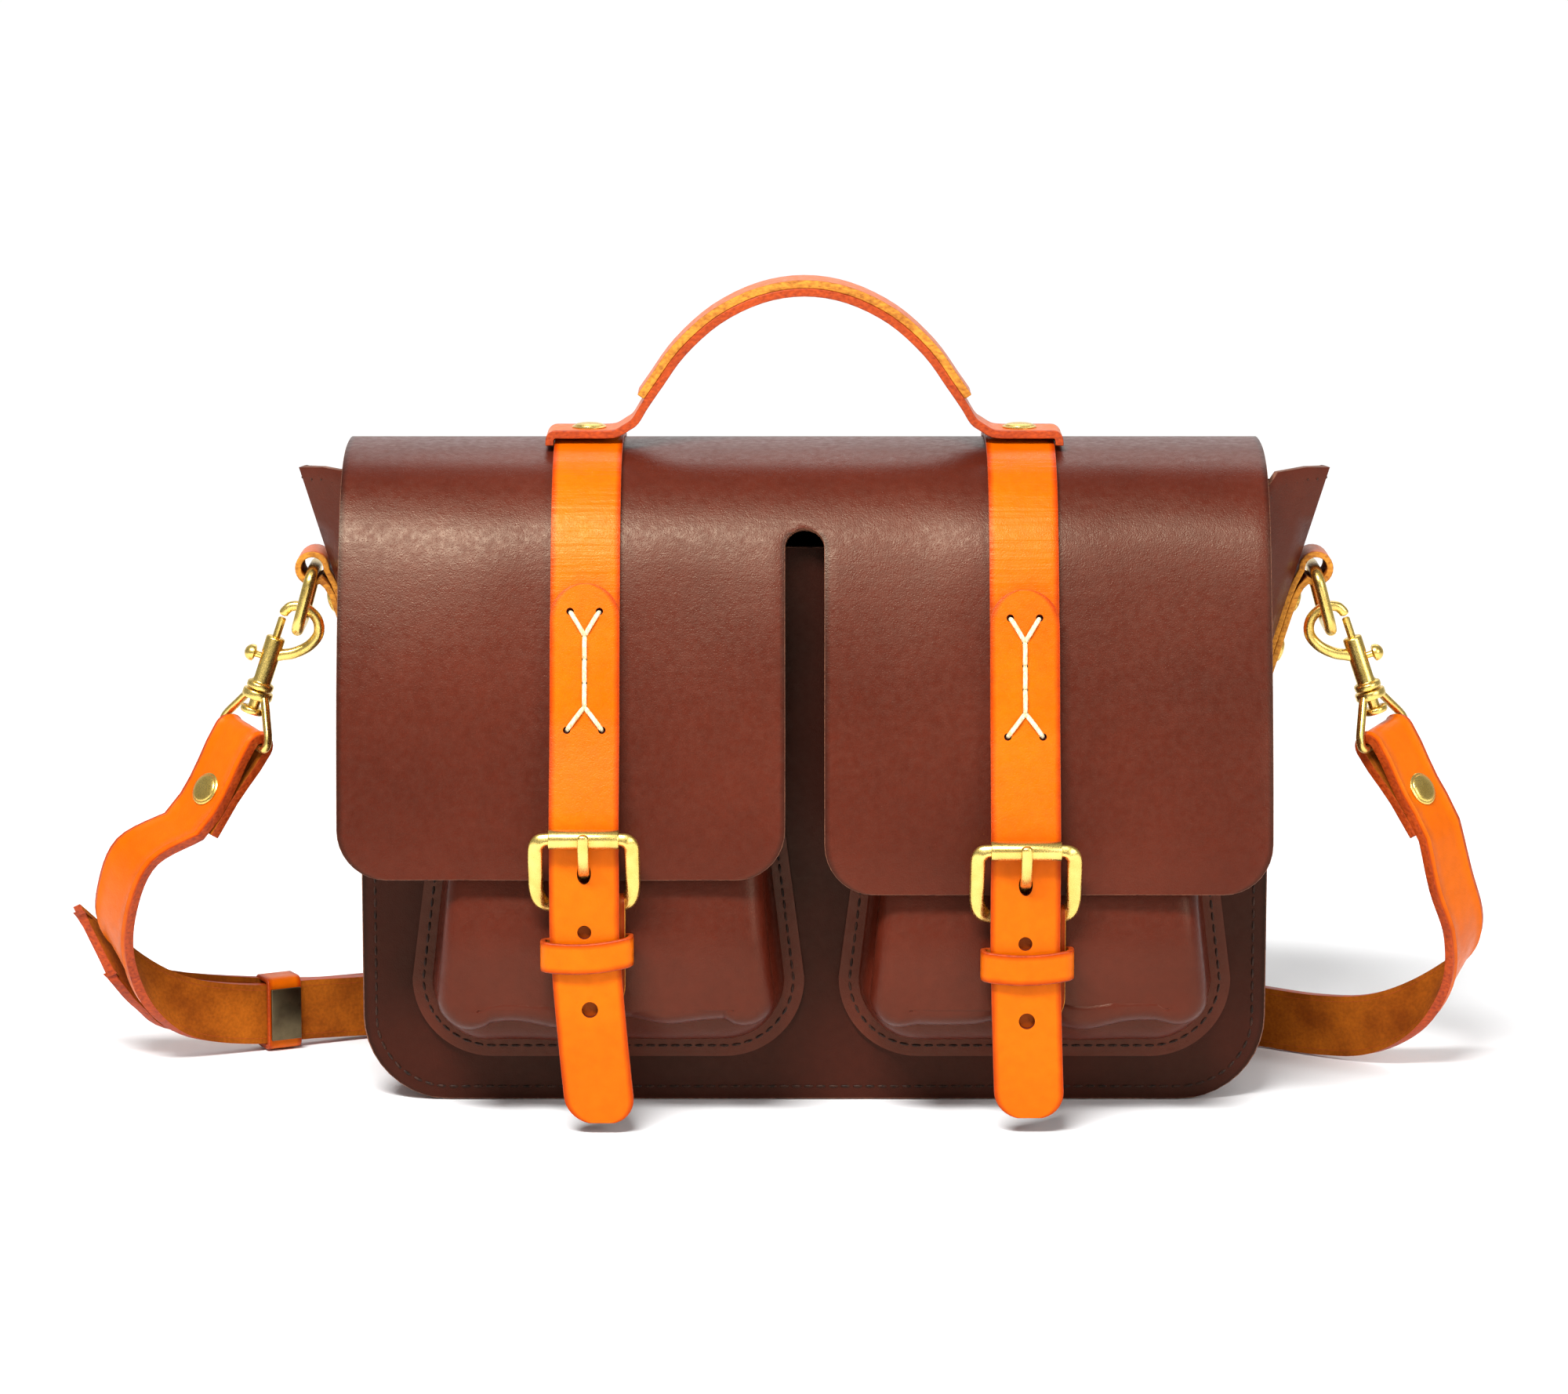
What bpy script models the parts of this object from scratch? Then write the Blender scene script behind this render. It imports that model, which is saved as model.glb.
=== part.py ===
"""Leather satchel bag: body, two moulded pockets, flap with buckled straps, handle, shoulder strap.

Units in the constants are millimetres.  +X is the bag's right as seen from the front, +Y is its back
and +Z is up.  The origin is on the floor, under the middle of the body.
"""
import math

import bmesh
import bpy
from mathutils import Matrix, Vector

for old_object in list(bpy.data.objects):
    bpy.data.objects.remove(old_object, do_unlink=True)

MM = 0.001                 # metres in a millimetre
GAP = 0.3                  # air left between neighbouring solids

# Body
BODY_HALF_WIDTH = 158.0
CORNER_RADIUS = 30.0       # lower corners of the panels
PANEL_THICKNESS = 2.5
GUSSET_THICKNESS = 2.0
GUSSET_HALF_DEPTH = 35.7   # to the faces that are sewn to the panels
FLANGE = 8.0               # turned-out edge of the gusset
FRONT_TOP = 196.0
BACK_TOP = 211.7
WING_BASE = 144.0          # height where the gusset starts to flare out
WING_TOP = 218.6           # front half of the wing's edge
WING_BACK = 214.6
WING_SLOPE = 0.311         # sideways growth of the flare per unit of height
BASE_BULGE = 6.0           # the base sags down to the floor between its seams
SIDE_BULGE = 3.9

# Flap, straps and buckles; everything on the flap sits a little to the left of the body
FLAP_CENTRE = -3.5
FLAP_HALF_WIDTH = 160.0
FLAP_THICKNESS = 2.5
FLAP_BOTTOM = {"l": 87.0, "r": 82.0}
FLAP_CORNER = 17.0
SLOT_RADIUS = 6.7
SLOT_TOP = 203.0
STRAP_SPACING = 75.1       # from the flap's middle to each strap's middle
STRAP_WIDTH = 25.0
STRAP_THICKNESS = 2.5
STRAP_Y = -88.5            # middle of the strap where it runs through the buckle
UPPER_STRAP_END = 132.0    # height where the upper strap ends, under the laced one
BACK_STRAP_END = 150.0     # height of its other end on the back panel
STRAP_TOP = {"l": 184.5, "r": 182.5}
ROLLER_Z = {"l": 104.0, "r": 100.0}
TAIL_END = {"l": 3.6, "r": 5.4}
HOLE_RADIUS = 2.4
HOLE_DROPS = {"prong": 11.7, "mid": 33.0, "low": 60.0}
PRONG_HOLE_STRETCH = 1.67
ROLLER_RADIUS = 3.3
ROLLER_LENGTH = 24.0
BUCKLE_WIRE = 2.1          # radius
BUCKLE_HALF_WIDTH = 16.4   # to the middle of the side wires
HEEL_DROP = 25.0           # roller to heel bar
PRONG_RADIUS = 1.3
SHORT_STRAP_THICKNESS = 1.8
SHORT_STRAP_HALF = 11.6
SHORT_STRAP_END = 64.8     # roller to the rounded end
KEEPER_HEIGHT = 10.5
KEEPER_DROP = 41.0         # roller to the keeper's middle
SNAP_DROP = 55.5           # roller to the snap's middle
SNAP_RADIUS = 5.0
SNAP_THICKNESS = 3.2

# Pockets
POCKET_CENTRE = {"l": -72.0, "r": 77.0}
POCKET_HALF_WIDTH = 68.5
POCKET_BOTTOM = 16.0
POCKET_TOP = 150.0
POCKET_CORNER = 28.0
POCKET_DEPTH = 37.0
POCKET_TOP_DEPTH = 19.0
POCKET_SHOULDER = 64.0     # height where the face starts to lean back
POCKET_TAPER = 0.80        # width at the top over width at the base
POCKET_THICKNESS = 2.0

# Handle
HANDLE_Y = -10.0
HANDLE_WIDTH = 20.0
HANDLE_THICKNESS = 2.8
TAB_Z = 232.7              # middle of the end tabs
HANDLE_PIVOT_Z = 240.0

# Side hardware; right-hand values, mirrored for the left
WING_FOOT = Vector((156.0, 0.0, WING_BASE))
SIDE_TAB_WIDTH = 19.0
TAB_LOOP = (44.2, 7.4)     # loop centre along and off the gusset
TAB_STACK = 4.6            # the tab's two layers
TAB_RIVETS = (11.4, 30.0)
RING_WIRE = 2.1
RING_TOP = Vector((176.0, 0.0, 183.1))
RING_BOTTOM = Vector((181.7, 0.0, 162.1))
RING_HALF_WIDTH = 13.6
HOOK_TOP = Vector((190.0, 0.0, 158.2))
HOOK_TILT = math.radians(18.7)
HOOK_WIRE = 1.8
GATE_RADIUS = 1.4
STIRRUP_WIRE = 1.3
STIRRUP_TURN = math.radians(48.9)
STIRRUP_REACH = 38.5       # from the top of the barrel to the strap's bar

# Shoulder strap
SHOULDER_WIDTH = 22.0
SHOULDER_THICKNESS = 3.3
SHOULDER_FLOOR_Z = 11.4    # middle of the strap where it stands on the floor
STUD_STATION = (-70.0, 81.6)
KEEPER_STATION = (-194.0, 38.25, 13.65)

RIVET_SHANK = 1.5
RIVET_HOLE = RIVET_SHANK + GAP + 0.15

SIDES = (("l", -1.0), ("r", 1.0))


def collection(name):
    made = bpy.data.collections.new(name)
    bpy.context.scene.collection.children.link(made)
    return made


PARTS = collection("satchel_bag")
CUTTERS = collection("cutters")


def material(name, colour, roughness, metallic=0.0):
    made = bpy.data.materials.new(name)
    made.use_nodes = True
    shader = made.node_tree.nodes["Principled BSDF"]
    shader.inputs["Base Color"].default_value = (*colour, 1.0)
    shader.inputs["Roughness"].default_value = roughness
    shader.inputs["Metallic"].default_value = metallic
    return made


CHESTNUT = material("chestnut_leather", (0.155, 0.032, 0.021), 0.42)
TAN = material("tan_leather", (0.90, 0.22, 0.012), 0.38)
BRASS = material("satin_brass", (0.68, 0.43, 0.08), 0.28, 1.0)
BRONZE = material("dark_bronze", (0.10, 0.075, 0.045), 0.35, 1.0)
STEEL = material("nickel_steel", (0.60, 0.60, 0.58), 0.30, 1.0)


# ---------------------------------------------------------------- shape helpers

def finish(obj, shade):
    obj.data.materials.append(shade)
    PARTS.objects.link(obj)
    return obj


def mesh_object(name, bm):
    bm.normal_update()
    data = bpy.data.meshes.new(name)
    bm.to_mesh(data)
    bm.free()
    return bpy.data.objects.new(name, data)


def grid(bm, rows):
    """Quads between rows of points given in millimetres."""
    made = [[bm.verts.new(Vector(p) * MM) for p in row] for row in rows]
    for upper, lower in zip(made, made[1:]):
        for i in range(len(upper) - 1):
            bm.faces.new((upper[i], upper[i + 1], lower[i + 1], lower[i]))
    return made


def thicken(obj, thickness, side):
    solid = obj.modifiers.new("thickness", "SOLIDIFY")
    solid.thickness = thickness * MM
    solid.offset = side
    solid.use_even_offset = True
    return obj


def sheet(name, rows, thickness, side, shade):
    """A leather piece: an open surface given its thickness by Solidify."""
    bm = bmesh.new()
    grid(bm, rows)
    return thicken(finish(mesh_object(name, bm), shade), thickness, side)


def arc(centre, radius, start, end, steps):
    """Points on a circle, with the angles in degrees."""
    found = []
    for i in range(steps + 1):
        angle = math.radians(start + (end - start) * i / steps)
        found.append((centre[0] + radius * math.cos(angle), centre[1] + radius * math.sin(angle)))
    return found


def plate(name, loops, thickness, placing, shade):
    """A flat outline, with any holes, in the placing's XY plane; Z is its thickness."""
    curve = bpy.data.curves.new(name, "CURVE")
    curve.dimensions = "2D"
    curve.fill_mode = "BOTH"
    curve.extrude = thickness * MM / 2
    for loop in loops:
        spline = curve.splines.new("POLY")
        spline.points.add(len(loop) - 1)
        for point, (x, y) in zip(spline.points, loop):
            point.co = (x * MM, y * MM, 0.0, 1.0)
        spline.use_cyclic_u = True
    obj = finish(bpy.data.objects.new(name, curve), shade)
    obj.matrix_world = placing
    return obj


def tube(name, points, radius, shade, cyclic=False, placing=None, rounding=2):
    curve = bpy.data.curves.new(name, "CURVE")
    curve.dimensions = "3D"
    curve.bevel_depth = radius * MM
    curve.bevel_resolution = rounding
    curve.use_fill_caps = True
    spline = curve.splines.new("POLY")
    spline.points.add(len(points) - 1)
    for point, place in zip(spline.points, points):
        point.co = (*(Vector(place) * MM), 1.0)
    spline.use_cyclic_u = cyclic
    obj = finish(bpy.data.objects.new(name, curve), shade)
    if placing is not None:
        obj.matrix_world = placing
    return obj


def turned(name, profile, placing, shade, steps=14):
    """A turned solid; the profile lists (radius, height) down its outer side."""
    bm = bmesh.new()
    points = [bm.verts.new((r * MM, 0.0, h * MM)) for r, h in profile]
    for a, b in zip(points, points[1:]):
        bm.edges.new((a, b))
    obj = finish(mesh_object(name, bm), shade)
    screw = obj.modifiers.new("turning", "SCREW")
    screw.steps = steps
    screw.render_steps = steps
    screw.use_merge_vertices = True
    screw.merge_threshold = 0.000001
    screw.use_smooth_shade = True
    obj.matrix_world = placing
    return obj


def to_mesh(obj):
    """The same object as a mesh, with its caps welded."""
    bpy.context.view_layer.update()
    evaluated = obj.evaluated_get(bpy.context.evaluated_depsgraph_get())
    data = bpy.data.meshes.new_from_object(evaluated)
    bm = bmesh.new()
    bm.from_mesh(data)
    bmesh.ops.remove_doubles(bm, verts=bm.verts, dist=0.000001)
    bmesh.ops.recalc_face_normals(bm, faces=bm.faces)
    bm.to_mesh(data)
    bm.free()
    made = bpy.data.objects.new("mesh", data)
    made.matrix_world = obj.matrix_world.copy()
    name = obj.name
    PARTS.objects.link(made)
    bpy.data.objects.remove(obj, do_unlink=True)
    made.name = name
    return made


def boolean(obj, other, operation):
    """Join another solid to this one or cut it away; the other becomes a hidden guide."""
    if other.name in PARTS.objects:
        PARTS.objects.unlink(other)
    if other.name not in CUTTERS.objects:
        CUTTERS.objects.link(other)
    other.hide_render = True
    other.display_type = "WIRE"
    change = obj.modifiers.new(operation.lower(), "BOOLEAN")
    change.operation = operation
    change.solver = "EXACT"
    change.object = other
    return obj


def cylinder_cutter(name, radius, low, high, placing, sides=12):
    bm = bmesh.new()
    bmesh.ops.create_cone(
        bm, cap_ends=True, segments=sides, radius1=radius * MM, radius2=radius * MM,
        depth=(high - low) * MM, matrix=Matrix.Translation((0, 0, (high + low) * MM / 2)))
    obj = mesh_object(name, bm)
    obj.matrix_world = placing
    CUTTERS.objects.link(obj)
    return obj


def box_cutter(name, low, high, placing):
    bm = bmesh.new()
    size = Vector(high) - Vector(low)
    middle = (Vector(high) + Vector(low)) / 2
    bmesh.ops.create_cube(bm, size=1.0)
    bmesh.ops.scale(bm, vec=size * MM, verts=bm.verts)
    bmesh.ops.translate(bm, vec=middle * MM, verts=bm.verts)
    obj = mesh_object(name, bm)
    obj.matrix_world = placing
    CUTTERS.objects.link(obj)
    return obj


def axes_at(origin, x_axis, z_axis):
    """A placing whose Z and X run along the given directions; the origin is in millimetres."""
    z = Vector(z_axis).normalized()
    x = (Vector(x_axis) - z * z.dot(Vector(x_axis))).normalized()
    y = z.cross(x)
    turn = Matrix((x, y, z)).transposed().to_4x4()
    return Matrix.Translation(Vector(origin) * MM) @ turn


def mirrored(vector, sign):
    return Vector((vector[0] * sign, vector[1], vector[2]))


def smooth(points, pieces):
    """A curve through the points, with the given number of pieces between each two."""
    points = [Vector(p) for p in points]
    ends = [points[0] * 2 - points[1]] + points + [points[-1] * 2 - points[-2]]
    found = []
    for i in range(1, len(ends) - 2):
        a, b, c, d = ends[i - 1:i + 3]
        for k in range(pieces):
            t = k / pieces
            found.append(0.5 * (2 * b + (c - a) * t + (2 * a - 5 * b + 4 * c - d) * t * t
                                + (3 * b - a - 3 * c + d) * t ** 3))
    return found + [points[-1]]


class Path:
    """A polyline of (y, z) points that can be read by length and offset sideways."""

    def __init__(self, points):
        self.points = [Vector(p) for p in points]
        self.lengths = [0.0]
        for a, b in zip(self.points, self.points[1:]):
            self.lengths.append(self.lengths[-1] + (b - a).length)
        self.length = self.lengths[-1]

    def at(self, s, offset=0.0):
        """The point at length s, moved by offset to the path's outer side."""
        i = 0
        while i < len(self.points) - 2 and self.lengths[i + 1] < s:
            i += 1
        before, after = self.points[i], self.points[i + 1]
        part = (s - self.lengths[i]) / (self.lengths[i + 1] - self.lengths[i])
        near = self.points[max(i - 1, 0)]
        far = self.points[min(i + 2, len(self.points) - 1)]
        start = (after - near).normalized()
        end = (far - before).normalized()
        run = (start * (1 - part) + end * part).normalized()
        return before.lerp(after, part) + Vector((run[1], -run[0], 0.0)) * offset

    def length_at_height(self, z):
        """The length where the path, on its way down, first passes the height z."""
        peak = max(range(len(self.points)), key=lambda k: self.points[k][1])
        for i in range(peak, len(self.points) - 1):
            a, b = self.points[i], self.points[i + 1]
            if a[1] >= z >= b[1]:
                share = (a[1] - z) / (a[1] - b[1])
                return self.lengths[i] + (self.lengths[i + 1] - self.lengths[i]) * share
        return self.length


def rounding(distance, radius):
    """How far a rounded corner has pulled an edge in, at a distance from the corner's end."""
    if distance >= radius:
        return 0.0
    return radius - math.sqrt(radius ** 2 - (radius - distance) ** 2)


# ---------------------------------------------------------------- body

def panel_outline(top):
    """The front or back panel in x and z, with round lower corners."""
    w, r = BODY_HALF_WIDTH, CORNER_RADIUS
    left = arc((-w + r, r), r, 180, 270, 8)
    right = arc((w - r, r), r, 270, 360, 8)
    return [(-w, top)] + left + right + [(w, top)]


def panel(name, y_middle, top):
    upright = Matrix.Translation((0, y_middle * MM, 0)) @ Matrix.Rotation(math.pi / 2, 4, "X")
    return plate(name, [panel_outline(top)], PANEL_THICKNESS, upright, CHESTNUT)


def gusset_path():
    """Stations (point, outward direction, bulge) down the left side, along the base and up again."""
    w, r = BODY_HALF_WIDTH, CORNER_RADIUS
    down = [((-w, z), (-1.0, 0.0), SIDE_BULGE) for z in (WING_BASE, 110.0, 70.0)]
    steps = 6
    for i in range(steps + 1):
        angle = math.radians(180 + 90 * i / steps)
        out = (math.cos(angle), math.sin(angle))
        bulge = SIDE_BULGE + (BASE_BULGE - SIDE_BULGE) * i / steps
        down.append(((-w + r + r * out[0], r + r * out[1]), out, bulge))
    up = [((-p[0], p[1]), (-out[0], out[1]), bulge) for p, out, bulge in reversed(down)]
    return down + up


def gusset():
    """Side and base strip: flanges that meet the panels, and a bulging middle."""
    depth = GUSSET_HALF_DEPTH
    section = (
        (-depth, 0.0, 0.0, FRONT_TOP), (-depth, FLANGE, 0.0, FRONT_TOP), (-24.0, FLANGE, 0.35, WING_TOP),
        (-14.0, FLANGE, 1.0, WING_TOP), (14.0, FLANGE, 1.0, WING_BACK), (24.0, FLANGE, 0.35, 211.0),
        (depth, FLANGE, 0.0, BACK_TOP - 1.5), (depth, 0.0, 0.0, BACK_TOP - 1.5))

    def wing_row(sign):
        row = []
        for y, inset, share, top in section:
            bulge = SIDE_BULGE + WING_SLOPE * (top - WING_BASE)
            row.append((sign * (BODY_HALF_WIDTH - inset + share * bulge), y, top))
        return row

    rows = [wing_row(-1.0)]
    for point, out, bulge in gusset_path():
        row = []
        for y, inset, share, _ in section:
            reach = share * bulge - inset
            row.append((point[0] + out[0] * reach, y, point[1] + out[1] * reach))
        rows.append(row)
    rows.append(wing_row(1.0))
    return sheet("gusset", rows, GUSSET_THICKNESS, 1.0, CHESTNUT)


def pocket(side):
    """Moulded pocket: a flange sewn to the front panel, walls and a face, open at the top and back."""
    base_y = -(GUSSET_HALF_DEPTH + GAP + PANEL_THICKNESS + GAP)
    loops = ((0.0, 0.0), (9.0, 0.0), (10.6, 0.42), (12.6, 0.84), (17.0, 1.0))
    heights = (POCKET_TOP, 118.0, 90.0, POCKET_SHOULDER)
    steps = 6

    def depth(z):
        if z <= POCKET_SHOULDER:
            return POCKET_DEPTH
        share = (z - POCKET_SHOULDER) / (POCKET_TOP - POCKET_SHOULDER)
        return POCKET_DEPTH + (POCKET_TOP_DEPTH - POCKET_DEPTH) * share

    def width_scale(z):
        share = min(max((z - 44.0) / (POCKET_TOP - 44.0), 0.0), 1.0)
        return 1.0 + (POCKET_TAPER - 1.0) * share

    def station(inset, rise, x, z):
        spread = width_scale(z)
        return (POCKET_CENTRE[side] + x * spread, base_y - rise * depth(z), z)

    half = []
    for z in heights:
        half.append([station(k, rise, -(POCKET_HALF_WIDTH - k), z) for k, rise in loops])
    for i in range(steps + 1):
        angle = math.radians(180 + 90 * i / steps)
        row = []
        for k, rise in loops:
            radius = POCKET_CORNER - k
            x = -(POCKET_HALF_WIDTH - POCKET_CORNER) + radius * math.cos(angle)
            z = POCKET_BOTTOM + POCKET_CORNER + radius * math.sin(angle)
            row.append(station(k, rise, x, z))
        half.append(row)

    def opposite(point):
        return (2 * POCKET_CENTRE[side] - point[0], point[1], point[2])

    rows = half + [[opposite(p) for p in row] for row in reversed(half)]
    bm = bmesh.new()
    made = grid(bm, rows)
    inner = [row[-1] for row in made]
    pairs = len(inner) // 2
    for i in range(pairs - 1):
        bm.faces.new((inner[i], inner[-1 - i], inner[-2 - i], inner[i + 1]))
    bmesh.ops.recalc_face_normals(bm, faces=bm.faces)
    bm.faces.ensure_lookup_table()
    outwards = bm.faces[-1].normal.y < 0
    obj = finish(mesh_object(f"pocket_{side}", bm), CHESTNUT)
    return thicken(obj, POCKET_THICKNESS, 1.0 if outwards else -1.0)


# ---------------------------------------------------------------- flap and its straps

def flap_profile():
    """The flap's under side, from the fold at the back, over the top and down the front."""
    points = ((36.0, 212.3), (34.6, 217.6), (29.0, 222.2), (17.0, 224.9), (0.0, 225.5), (-18.0, 224.0),
              (-33.0, 218.5), (-44.0, 208.0), (-52.0, 194.0), (-60.0, 172.0), (-67.0, 148.0),
              (-73.0, 122.0), (-77.5, 98.0), (-79.6, 78.0))
    return Path(smooth([(y, z, 0.0) for y, z in points], 2))


PROFILE = flap_profile()
FOLD_PIECES = 18           # the flap and the straps on it are divided alike over the fold


def spread(start, end, count):
    return [start + (end - start) * k / count for k in range(count + 1)]


def flap():
    """One sheet with round lower corners and a round-topped slot in the middle of its front."""
    slot_start = PROFILE.length_at_height(SLOT_TOP)
    bm = bmesh.new()
    for side, sign in SIDES:
        end = PROFILE.length_at_height(FLAP_BOTTOM[side])
        stops = spread(0.0, slot_start, FOLD_PIECES)
        stops += [slot_start + SLOT_RADIUS * k for k in (0.12, 0.5, 1.0)]
        start, last = stops[-1], end - FLAP_CORNER
        stops += [start + (last - start) * k / 7 for k in range(1, 8)]
        stops += [end - FLAP_CORNER * k for k in (0.7, 0.45, 0.22, 0.08, 0.0)]
        rows = []
        for s in stops:
            y, z, _ = PROFILE.at(s)
            pull = rounding(end - s, FLAP_CORNER)
            into_slot = s - slot_start
            inner = 0.0
            if into_slot > 0:
                inner = SLOT_RADIUS - rounding(into_slot, SLOT_RADIUS)
            outer = FLAP_HALF_WIDTH - pull
            inner += pull
            row = [(FLAP_CENTRE + sign * (inner + (outer - inner) * k / 2), y, z) for k in range(3)]
            rows.append(row if sign > 0 else row[::-1])
        grid(bm, rows)
    bmesh.ops.remove_doubles(bm, verts=bm.verts, dist=0.00001)
    return thicken(finish(mesh_object("flap", bm), CHESTNUT), FLAP_THICKNESS, -1.0)


def strap_strip(name, x, path, stops, offset, thickness, width=STRAP_WIDTH, round_start=0.0, round_end=0.0):
    """A strap along a path of (y, z), with its inner face at the given offset."""
    rows = []
    for s in stops:
        y, z, _ = path.at(s, offset)
        pull = max(rounding(s - stops[0] + 0.4, round_start), rounding(stops[-1] - s + 0.4, round_end))
        half = width / 2 - pull
        rows.append([(x - half, y, z), (x + half, y, z)])
    return sheet(name, rows, thickness, -1.0, TAN)


def strap_x(sign):
    return FLAP_CENTRE + sign * STRAP_SPACING


def upper_strap(side, sign):
    """From the fold over the flap's top to under the laced strap."""
    over_fold = PROFILE.length_at_height(SLOT_TOP)
    end = PROFILE.length_at_height(UPPER_STRAP_END)
    stops = spread(0.0, over_fold, FOLD_PIECES) + spread(over_fold, end, 7)[1:]
    offset = FLAP_THICKNESS + GAP
    return strap_strip(f"strap_upper_{side}", strap_x(sign), PROFILE, stops, offset, STRAP_THICKNESS)


def back_strap(side, sign):
    """The strap's other end, sewn down the back panel."""
    face = GUSSET_HALF_DEPTH + GAP + PANEL_THICKNESS + GAP
    path = Path([(face, BACK_STRAP_END, 0.0), (face, 208.0, 0.0)])
    stops = [0.0, 1.0, 3.0, 6.5, 12.5, path.length]
    return strap_strip(f"strap_back_{side}", strap_x(sign), path, stops, 0.0, STRAP_THICKNESS,
                       round_start=STRAP_WIDTH / 2)


def lower_strap_path(side):
    """Middle of the laced strap, from its round top down to the tail's tip."""
    middle = FLAP_THICKNESS + STRAP_THICKNESS + 2 * GAP + STRAP_THICKNESS / 2
    start = PROFILE.length_at_height(STRAP_TOP[side])
    over = [PROFILE.at(start + 12.0 * k, middle) for k in range(5)]
    roller = ROLLER_Z[side]
    down = [(-85.6, roller + 12.0, 0.0), (STRAP_Y, roller + 3.0, 0.0), (STRAP_Y, roller - 6.0, 0.0),
            (STRAP_Y, roller - 30.0, 0.0), (STRAP_Y, roller - 58.0, 0.0), (-87.6, 24.0, 0.0),
            (-86.6, TAIL_END[side], 0.0)]
    return Path(smooth(over + down, 3))


def lower_strap(side, sign):
    """The long strap that is laced on and runs down through the buckle."""
    path = lower_strap_path(side)
    r = STRAP_WIDTH / 2
    stops = [0.4, 1.4, 3.4, 7.0, r] + spread(r + 6.0, path.length - r, 20)
    stops += [path.length - k for k in (7.0, 3.4, 1.4, 0.4)]
    name = f"strap_lower_{side}"
    strap = strap_strip(name, strap_x(sign), path, stops, -STRAP_THICKNESS / 2, STRAP_THICKNESS,
                        round_start=r, round_end=r)
    for label, drop in HOLE_DROPS.items():
        placing = axes_at(buckle_point(side, sign, 0.0, drop, 0.0), (1, 0, 0), (0, -1, 0))
        if label == "prong":
            placing = placing @ Matrix.Scale(PRONG_HOLE_STRETCH, 4, (0, 1, 0))
        cutter = cylinder_cutter(f"cut_{name}_{label}", HOLE_RADIUS, -8.0, 8.0, placing)
        boolean(strap, cutter, "DIFFERENCE")
    return strap


def buckle_point(side, sign, x, drop, out):
    """A place in the buckle: across, down from the roller and out from the strap's middle."""
    return (strap_x(sign) + x, STRAP_Y - out, ROLLER_Z[side] - drop)


ROLLER_OUT = STRAP_THICKNESS / 2 + GAP - 0.05 + ROLLER_RADIUS
HEEL_OUT = -(STRAP_THICKNESS / 2 + GAP + SHORT_STRAP_THICKNESS + GAP + BUCKLE_WIRE)


def buckle_frame(side, sign):
    w = BUCKLE_HALF_WIDTH
    slope = (HEEL_OUT - ROLLER_OUT) / HEEL_DROP
    half = ((13.6, 0.0), (15.6, 0.8), (w, 3.2), (w, 10.0), (w, 17.6), (15.4, 22.6), (13.2, HEEL_DROP))
    points = [(x, drop, ROLLER_OUT + slope * drop) for x, drop in half]
    points += [(-x, drop, out) for x, drop, out in reversed(points)]
    placed = [buckle_point(side, sign, *p) for p in points]
    return tube(f"buckle_frame_{side}", placed, BUCKLE_WIRE, BRASS, cyclic=True)


def roller(side, sign):
    half = ROLLER_LENGTH / 2
    bore = BUCKLE_WIRE + GAP
    outer = ROLLER_RADIUS
    profile = [(bore, half), (outer - 0.3, half), (outer, half - 0.3), (outer, -half + 0.3),
               (outer - 0.3, -half), (bore, -half), (bore, half)]
    placing = axes_at(buckle_point(side, sign, 0.0, 0.0, ROLLER_OUT), (0, 0, 1), (1, 0, 0))
    return turned(f"roller_{side}", profile, placing, BRASS)


def prong(side, sign):
    """Hooked round the heel bar, up through the strap's hole and over the roller."""
    reach = BUCKLE_WIRE + GAP + PRONG_RADIUS
    eye = [(HEEL_DROP + reach * math.cos(a), HEEL_OUT - reach * math.sin(a))
           for a in (math.pi * k / 6 for k in range(7))]
    rest = [(15.6, -4.5), (12.4, -2.8), (11.4, 0.0), (10.3, 2.6), (7.0, 6.2), (3.4, 8.8), (0.0, 10.0),
            (-2.6, 10.1)]
    placed = [buckle_point(side, sign, 0.0, drop, out) for drop, out in eye + rest]
    return tube(f"prong_{side}", placed, PRONG_RADIUS, BRASS)


def short_strap(side, sign):
    """Folded round the heel bar; its front layer hangs behind the tail and carries the snap."""
    turn = BUCKLE_WIRE + GAP + SHORT_STRAP_THICKNESS / 2
    back = HEEL_OUT - turn
    front = HEEL_OUT + turn
    behind = front - SHORT_STRAP_THICKNESS - GAP
    route = [(49.6, behind), (42.0, behind), (33.6, behind), (29.6, back + 1.0)]
    route += [(HEEL_DROP + turn * math.cos(a), HEEL_OUT + turn * math.sin(a))
              for a in (math.radians(-75 - 30 * k) for k in range(7))]
    route += [(drop, front) for drop in (32.0, 45.0, 52.0, 58.0, 61.5, 63.6, 64.4)]
    rows = []
    for drop, out in route:
        pull = rounding(SHORT_STRAP_END - drop, 12.5) if out == front else 0.0
        half = SHORT_STRAP_HALF - pull
        rows.append([buckle_point(side, sign, end, drop, out) for end in (-half, half)])
    strap = sheet(f"buckle_strap_{side}", rows, SHORT_STRAP_THICKNESS, 0.0, TAN)
    slot = box_cutter(f"cut_buckle_strap_{side}", (-2.2, -1.0, -31.5), (2.2, 14.0, -14.0),
                      Matrix.Translation(Vector((strap_x(sign), STRAP_Y, ROLLER_Z[side])) * MM))
    return boolean(strap, slot, "DIFFERENCE")


def rounded_rectangle(low, high, radius, steps=4):
    (x0, y0), (x1, y1) = low, high
    corners = ((x1 - radius, y1 - radius, 0), (x0 + radius, y1 - radius, 90),
               (x0 + radius, y0 + radius, 180), (x1 - radius, y0 + radius, 270))
    found = []
    for x, y, start in corners:
        found += arc((x, y), radius, start, start + 90, steps)
    return found


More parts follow.
